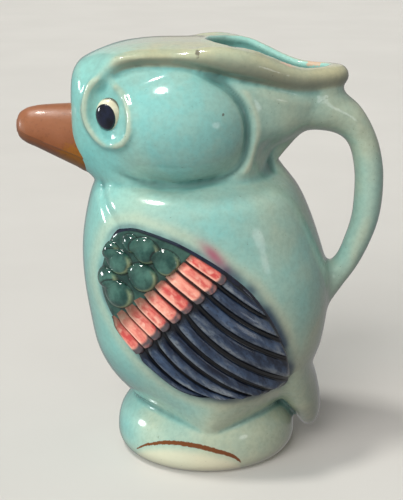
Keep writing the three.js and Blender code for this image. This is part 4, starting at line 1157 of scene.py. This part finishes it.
def brown_glaze():
    g = Glaze("brown_glaze", 0.36, 0.2)
    fine = g.noise(600, 4, 0.65)
    high = g.span(g.axis("Z"), 0.148, 0.17, 0.0, 0.7)
    colour = g.blend(g.plus(high, g.clouds(g.noise(70, 3), 0.0, 0.3)), BEAK_BROWN, BEAK_TAN)
    colour = g.tint(colour, BEAK_AMBER, g.patch((-57, -8, 149), (12, 14, 8), 0.2))
    colour = g.tint(colour, BEAK_FLECK, g.span(fine, 0.5, 0.75, 0.0, 0.35))
    return g.finish(colour, fine, 0.0002, 0.3)


def cream_glaze():
    g = Glaze("cream_glaze", 0.16)
    colour = g.blend(g.clouds(g.noise(300, 3)), CREAM, PALE_CREAM)
    colour = g.tint(colour, EYE_LINE, g.mark("line"), 0.85)
    return g.finish(colour, g.noise(700, 3), 0.0001, 0.25)


def ink_glaze():
    g = Glaze("ink_glaze", 0.08)
    return g.finish(g.blend(g.clouds(g.noise(200, 3)), INK, INK_BLUE), g.noise(1200, 3), 0.0002, 0.25)


def coral_glaze():
    g = Glaze("coral_glaze", 0.16, 0.6)
    streak, cloud, fine = g.noise(420, 3, drawn=3.5), g.noise(260, 3), g.noise(900, 3)
    tip = g.mark("tip")
    share = g.span(streak, 0.34, 0.66, 0.0, 0.7)
    share = g.plus(share, g.span(g.mark("tone"), 0.0, 1.0, -0.15, 0.3), clamp=True)
    colour = g.blend(share, CORAL, CORAL_PINK)
    # Pale patches down each feather's middle and a pale line along its raised edge: painted highlights.
    colour = g.tint(colour, CORAL_HIGHLIGHT, g.span(cloud, 0.48, 0.66, 0.0, 0.6), g.mark("mid_highlight"))
    colour = g.tint(colour, CORAL_RIDGE_HIGHLIGHT, g.mark("ridge"), 0.7)
    # Dark at the feathers' roots under the scale pad: painted shade.
    colour = g.tint(colour, CORAL_ROOT_SHADE, g.mark("root"), 0.8)
    ragged = g.plus(tip, g.clouds(cloud, -0.25, 0.25), clamp=True)
    colour = g.tint(colour, CORAL_END, g.times(ragged, tip), 0.95)
    # Near black in the gaps, at the tips and along the wing's border, with painted shadow under each raised
    # edge.
    colour = g.tint(colour, CORAL_GAP_AND_SHADE, g.mark("groove"), 0.94)
    return g.finish(colour, g.plus(cloud, g.times(fine, 0.3)), 0.0003, 0.3)


def slate_glaze():
    g = Glaze("slate_glaze", 0.15, 0.6)
    streak, fine = g.noise(300, 4, 0.6, drawn=4.0), g.noise(1000, 4, 0.7, drawn=2.0)
    ridge, mid_highlight = g.mark("ridge"), g.mark("mid_highlight")
    # Each feather's middle is painted a lighter blue: painted highlight.
    share = g.plus(g.span(streak, 0.32, 0.68, -0.1, 0.55), g.times(mid_highlight, 0.4))
    share = g.plus(share, g.span(g.mark("tone"), 0.0, 1.0, -0.12, 0.12), clamp=True)
    colour = g.blend(share, SLATE, SLATE_BLUE)
    # Pale streaks of glaze, laid only on the feathers' middles and raised edges, where they also stand as
    # painted highlight.
    streak_and_sheen = g.times(g.span(streak, 0.46, 0.66), g.span(g.noise(70, 3), 0.45, 0.6, 0.05, 0.6))
    colour = g.tint(colour, SLATE_STREAK_AND_SHEEN, streak_and_sheen, g.math("MAXIMUM", mid_highlight, ridge))
    # A pale line along each raised edge: painted highlight.
    colour = g.tint(colour, SLATE_RIDGE_HIGHLIGHT, ridge, g.span(streak, 0.35, 0.6, 0.1, 0.6))
    colour = g.tint(colour, SLATE_FLECK, g.span(fine, 0.5, 0.68, 0.0, 0.65))
    # Near black in the gaps and along the border, with painted shadow under each raised edge and at the roots
    # under the coral row.
    deep = g.math("MAXIMUM", g.times(g.mark("groove"), 0.97), g.times(g.mark("root"), 0.9))
    colour = g.tint(colour, SLATE_GAP_AND_SHADE, deep)
    return g.finish(colour, g.plus(streak, g.times(fine, 0.5)), 0.0004, 0.4)


def green_glaze():
    g = Glaze("green_glaze", 0.08, 0.9)
    cloud = g.noise(130, 3)
    colour = g.blend(g.clouds(cloud), BOTTLE, SEA_GREEN)
    # Dark between and round the scales, with painted shade on the pad and on each scale's back half.
    colour = g.tint(colour, SCALE_GAP_AND_SHADE, g.mark("groove"), 0.85)
    colour = g.tint(colour, SCALE_EDGE, g.mark("ridge"), g.clouds(cloud, 0.5, 0.95))
    colour = g.tint(colour, SCALE_FLECK, g.span(g.noise(700, 3), 0.55, 0.75, 0.0, 0.3))
    return g.finish(colour, g.noise(320, 2), 0.0005, 0.3)


# Finished pieces


def piece(name, mesh, glaze, slot, *nodes):
    mesh.transform(Matrix.Scale(MM, 4))
    mesh.name = name
    mesh.materials.clear()
    mesh.materials.append(glaze)
    mesh.shade_smooth()
    mesh.set_sharp_from_angle(angle=math.radians(50))
    made = bpy.data.objects.new(name, mesh)
    bpy.context.scene.collection.objects.link(made)
    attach(made, "root")
    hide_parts(*nodes)


def mirrored(mesh):
    form = as_form(mesh)
    bmesh.ops.scale(form, vec=(1, -1, 1), verts=form.verts)
    bmesh.ops.reverse_faces(form, faces=form.faces)
    other = bpy.data.meshes.new("clay")
    form.to_mesh(other)
    form.free()
    return other


def pair(name, mesh, glaze, slot, node_name):
    other = mirrored(mesh)
    piece(f"left_{name}", mesh, glaze, slot, f"left_{node_name}")
    piece(f"right_{name}", other, glaze, slot, f"right_{node_name}")


def point_tree(points):
    tree = kdtree.KDTree(len(points))
    for i, point in enumerate(points):
        tree.insert(point, i)
    tree.balance()
    return tree


def set_mark(mesh, name, values):
    layer = mesh.attributes.get(name) or mesh.attributes.new(name, "FLOAT", "POINT")
    layer.data.foreach_set("value", values.astype(np.float32))


def give_marks(mesh, tree, marks):
    """Hands the marks of the whole lump on to a part cut from it."""
    nearest = np.array([tree.find(v.co)[1] for v in mesh.vertices])
    for name, values in marks.items():
        set_mark(mesh, name, values[nearest])


def crest_marks(mesh):
    """Marks of the rolled rim and the hood, of their downward-facing undersides for painted shade, and of the
    inside of the mouth.
    """
    line = rim_line()
    tree = point_tree(line[:, :3])
    found = [tree.find(v.co) for v in mesh.vertices]
    beyond = np.array([distance for _, _, distance in found]) - line[[i for _, i, _ in found], 3]
    x, y, z = places(mesh).T
    inward = np.column_stack([MOUTH_FRONT_X + MOUTH_LENGTH / 2 - x, -y])
    inward /= np.linalg.norm(inward, axis=1)[:, None] + WELD
    facing_in = (facing(mesh)[:, :2] * inward).sum(1)
    in_mouth = ease(facing_in, 0.1, 0.5) * ease(x, MOUTH_FRONT_X - 4, MOUTH_FRONT_X)
    on_rim, on_hood = (ease(x, *edge[:2]) * ease(z, *edge[2:]) for edge in (RIM_THIN, HOOD_THIN))
    on_rim *= 1 - ease(beyond, 0.0, RIM_THIN_EDGE)
    crest = np.maximum(on_rim, on_hood) * (1 - in_mouth)
    # This mark paints the inside of the mouth turquoise and lighter, the lightness being painted light.
    inside = in_mouth * ease(z, 150, 165) * (np.abs(y) < 30)
    # The second mark is painted shade on the downward-facing undersides of rim and hood.
    return crest, crest * (1 - ease(facing(mesh)[:, 2], -0.4, 0.85)), inside


def give_stains(mesh):
    """Colour that has run from the wings into the glaze round them."""
    x, y, z = places(mesh).T
    ahead, above = x - WING_X, z - WING_Z
    along = ahead * math.cos(WING_SLOPE) - above * math.sin(WING_SLOPE)
    across = ahead * math.sin(WING_SLOPE) + above * math.cos(WING_SLOPE)
    near = (np.abs(y) > 18) & (np.abs(across) < 48)
    near &= (along > -STAIN_MARGIN) & (along < WING_LENGTH + STAIN_MARGIN)
    out = np.full(x.shape, 99.0)
    out[near] = -inside_wing(along[near], across[near])
    lower = ease(-across, 4, 14) * ease(along, 38, 60)
    upper = ease(across, 2, 10) * ease(along, 30, 44)
    run = np.maximum(lower, upper)
    set_mark(mesh, "blue", bell(np.maximum(out, 0), STAIN_REACH + STAIN_RUN * run) * (0.6 + 0.35 * run))
    pink = bell(along - PINK_PLACE[0], PINK_SPREAD[0]) * bell(across - PINK_PLACE[1], PINK_SPREAD[1])
    set_mark(mesh, "pink", pink * near)
    thin = np.empty(len(x), np.float32)
    mesh.attributes["thin"].data.foreach_get("value", thin)
    set_mark(mesh, "thin", np.maximum(thin, HALO_SHARE * bell(out - HALO_PLACE, HALO_WIDTH)))


def clay_marks(lump):
    """Where the glaze is thin or pooled, painted shade in tight creases and where forms meet, and the rim and
    the mouth.
    """
    near, wide = curvature(lump, 6), curvature(lump, 40)
    x, y, z = places(lump).T
    # Painted shade along the groove under each cheek, joined with painted shade in every tight crease.
    cheek_crease_shade = bell(from_line(x, z, CREASE_LINE), CREASE_SHADE_WIDTH)
    cheek_crease_shade *= ease(np.abs(y), *CHEEK_SIDE) * ease(x, -44, -30)
    crest, crest_shade, inside = crest_marks(lump)
    return {
        "thin": np.clip(0.5 * ease(near, 0.02, 0.14) + 0.8 * ease(wide, 0.25, 0.8), 0, 1),
        "pool": np.clip(0.45 * ease(-near, 0.02, 0.14) + 0.6 * ease(-wide, 0.05, 0.7), 0, 1),
        "crease_shade": np.maximum(ease(-near, 0.05, 0.2), cheek_crease_shade),
        "crest": crest,
        "crest_shade": crest_shade,
        "inside": inside,
    }


def make_pitcher():
    lump = throw_clay()
    marks = clay_marks(lump)
    tree = point_tree([v.co for v in lump.vertices])
    lump = cut(lump, hollow_mesh())
    body_grown = as_mesh(body_form(BODY_GROW))
    head_grown = fused(as_mesh(*head_forms(HEAD_GROW)), COARSE_VOXEL)
    tail_zone = cut(cut(as_mesh(tail_form(TAIL_GROW)), body_grown), as_mesh(foot_form(FOOT_GROW)))
    foot_zone = cut(cut(as_mesh(block(*FOOT_BLOCK)), body_grown), tail_zone)
    handle_zone = cut(cut(as_mesh(handle_form(HANDLE_GROW)), body_grown), head_grown)
    neck = as_mesh(above_neck())
    glaze = turquoise_glaze()
    parts = {}
    rest = lump
    for name, share in (("foot", foot_zone), ("tail", tail_zone), ("handle", handle_zone)):
        parts[name] = cut(rest, share, "INTERSECT")
        rest = cut(rest, share)
    parts["head"] = cut(rest, neck, "INTERSECT")
    parts["body"] = cut(rest, neck)
    for mesh in parts.values():
        give_marks(mesh, tree, marks)
    give_stains(parts["body"])
    piece("glazed_foot", parts["foot"], turquoise_glaze("foot_glaze", True), "turquoise_glaze", "foot")
    piece("tail_lobe", parts["tail"], glaze, "turquoise_glaze", "tail")
    piece("strap_handle", parts["handle"], glaze, "turquoise_glaze", "handle")
    head_nodes = ("head_shell", "rim_roll", "left_eye_ring", "right_eye_ring")
    piece("glazed_head", parts["head"], glaze, "turquoise_glaze", *head_nodes)
    piece("glazed_body", parts["body"], glaze, "turquoise_glaze", "body_shell")


def make_fittings():
    ink = ink_glaze()
    piece("glazed_beak", as_mesh(beak_form()), brown_glaze(), "brown_glaze", "beak")
    pair("eye_white", as_mesh(eye_form()), cream_glaze(), "cream_glaze", "eyeball")
    pair("eye_pupil", as_mesh(pupil_form()), ink, "ink_glaze", "pupil")
    pair("wing_plaque", as_mesh(plaque_form()), ink, "ink_glaze", "wing_bed")
    pair("wing_scales", as_mesh(covert_form()), green_glaze(), "green_glaze", "wing_coverts")
    pair("wing_coral_row", as_mesh(coral_form()), coral_glaze(), "coral_glaze", "wing_band")
    pair("wing_flight_row", as_mesh(flight_form()), slate_glaze(), "slate_glaze", "wing_primaries")


# Studio


def make_floor():
    form = bmesh.new()
    bmesh.ops.create_circle(form, cap_ends=True, segments=64, radius=FLOOR_RADIUS)
    mesh = bpy.data.meshes.new("studio_floor")
    form.to_mesh(mesh)
    form.free()
    g = Glaze("pale_floor", 0.6, 0.0)
    mesh.materials.append(g.finish(g.blend(g.clouds(g.noise(6, 3)), FLOOR_GREY, FLOOR_PALE)))
    floor = bpy.data.objects.new("studio_floor", mesh)
    bpy.context.scene.collection.objects.link(floor)
    floor.visible_diffuse = floor.visible_glossy = False


def make_room():
    """Even light all round, which the camera alone sees as a paler backdrop."""
    world = bpy.data.worlds.new("studio")
    bpy.context.scene.world = world
    world.use_nodes = True
    tree = world.node_tree
    backdrop = tree.nodes["Background"]
    backdrop.inputs["Color"].default_value = ROOM_COLOUR
    seen = node(tree, "ShaderNodeLightPath").outputs["Is Camera Ray"]
    glow = node(tree, "ShaderNodeMath", {0: seen, 1: BACKDROP_GLOW, 2: ROOM_GLOW}, operation="MULTIPLY_ADD")
    tree.links.new(glow.outputs[0], backdrop.inputs["Strength"])
    bpy.context.scene.view_settings.view_transform = "Standard"


def make_lamps():
    for name, kind, place, size, power, colour, seen_in in LAMPS:
        light = bpy.data.lights.new(name, kind)
        light.energy, light.color = power, colour
        if kind == "SUN":
            light.angle = size
        else:
            light.shape, light.size = "DISK", size
        lamp = bpy.data.objects.new(name, light)
        lamp.location = place
        lamp.rotation_euler = (LAMP_TARGET - Vector(place)).to_track_quat("-Z", "Y").to_euler()
        lamp.visible_camera = False
        lamp.visible_glossy, lamp.visible_diffuse = seen_in != "colour", seen_in != "gloss"
        bpy.context.scene.collection.objects.link(lamp)


def make_camera():
    lens = bpy.data.cameras.new("photo_view")
    lens.lens, lens.sensor_width = CAMERA_LENS, CAMERA_SENSOR
    camera = bpy.data.objects.new("photo_view", lens)
    camera.location, camera.rotation_euler = CAMERA_PLACE, (CAMERA_PITCH, 0, 0)
    bpy.context.scene.collection.objects.link(camera)
    bpy.context.scene.camera = camera


make_floor()
make_room()
make_lamps()
make_camera()
make_pitcher()
make_fittings()
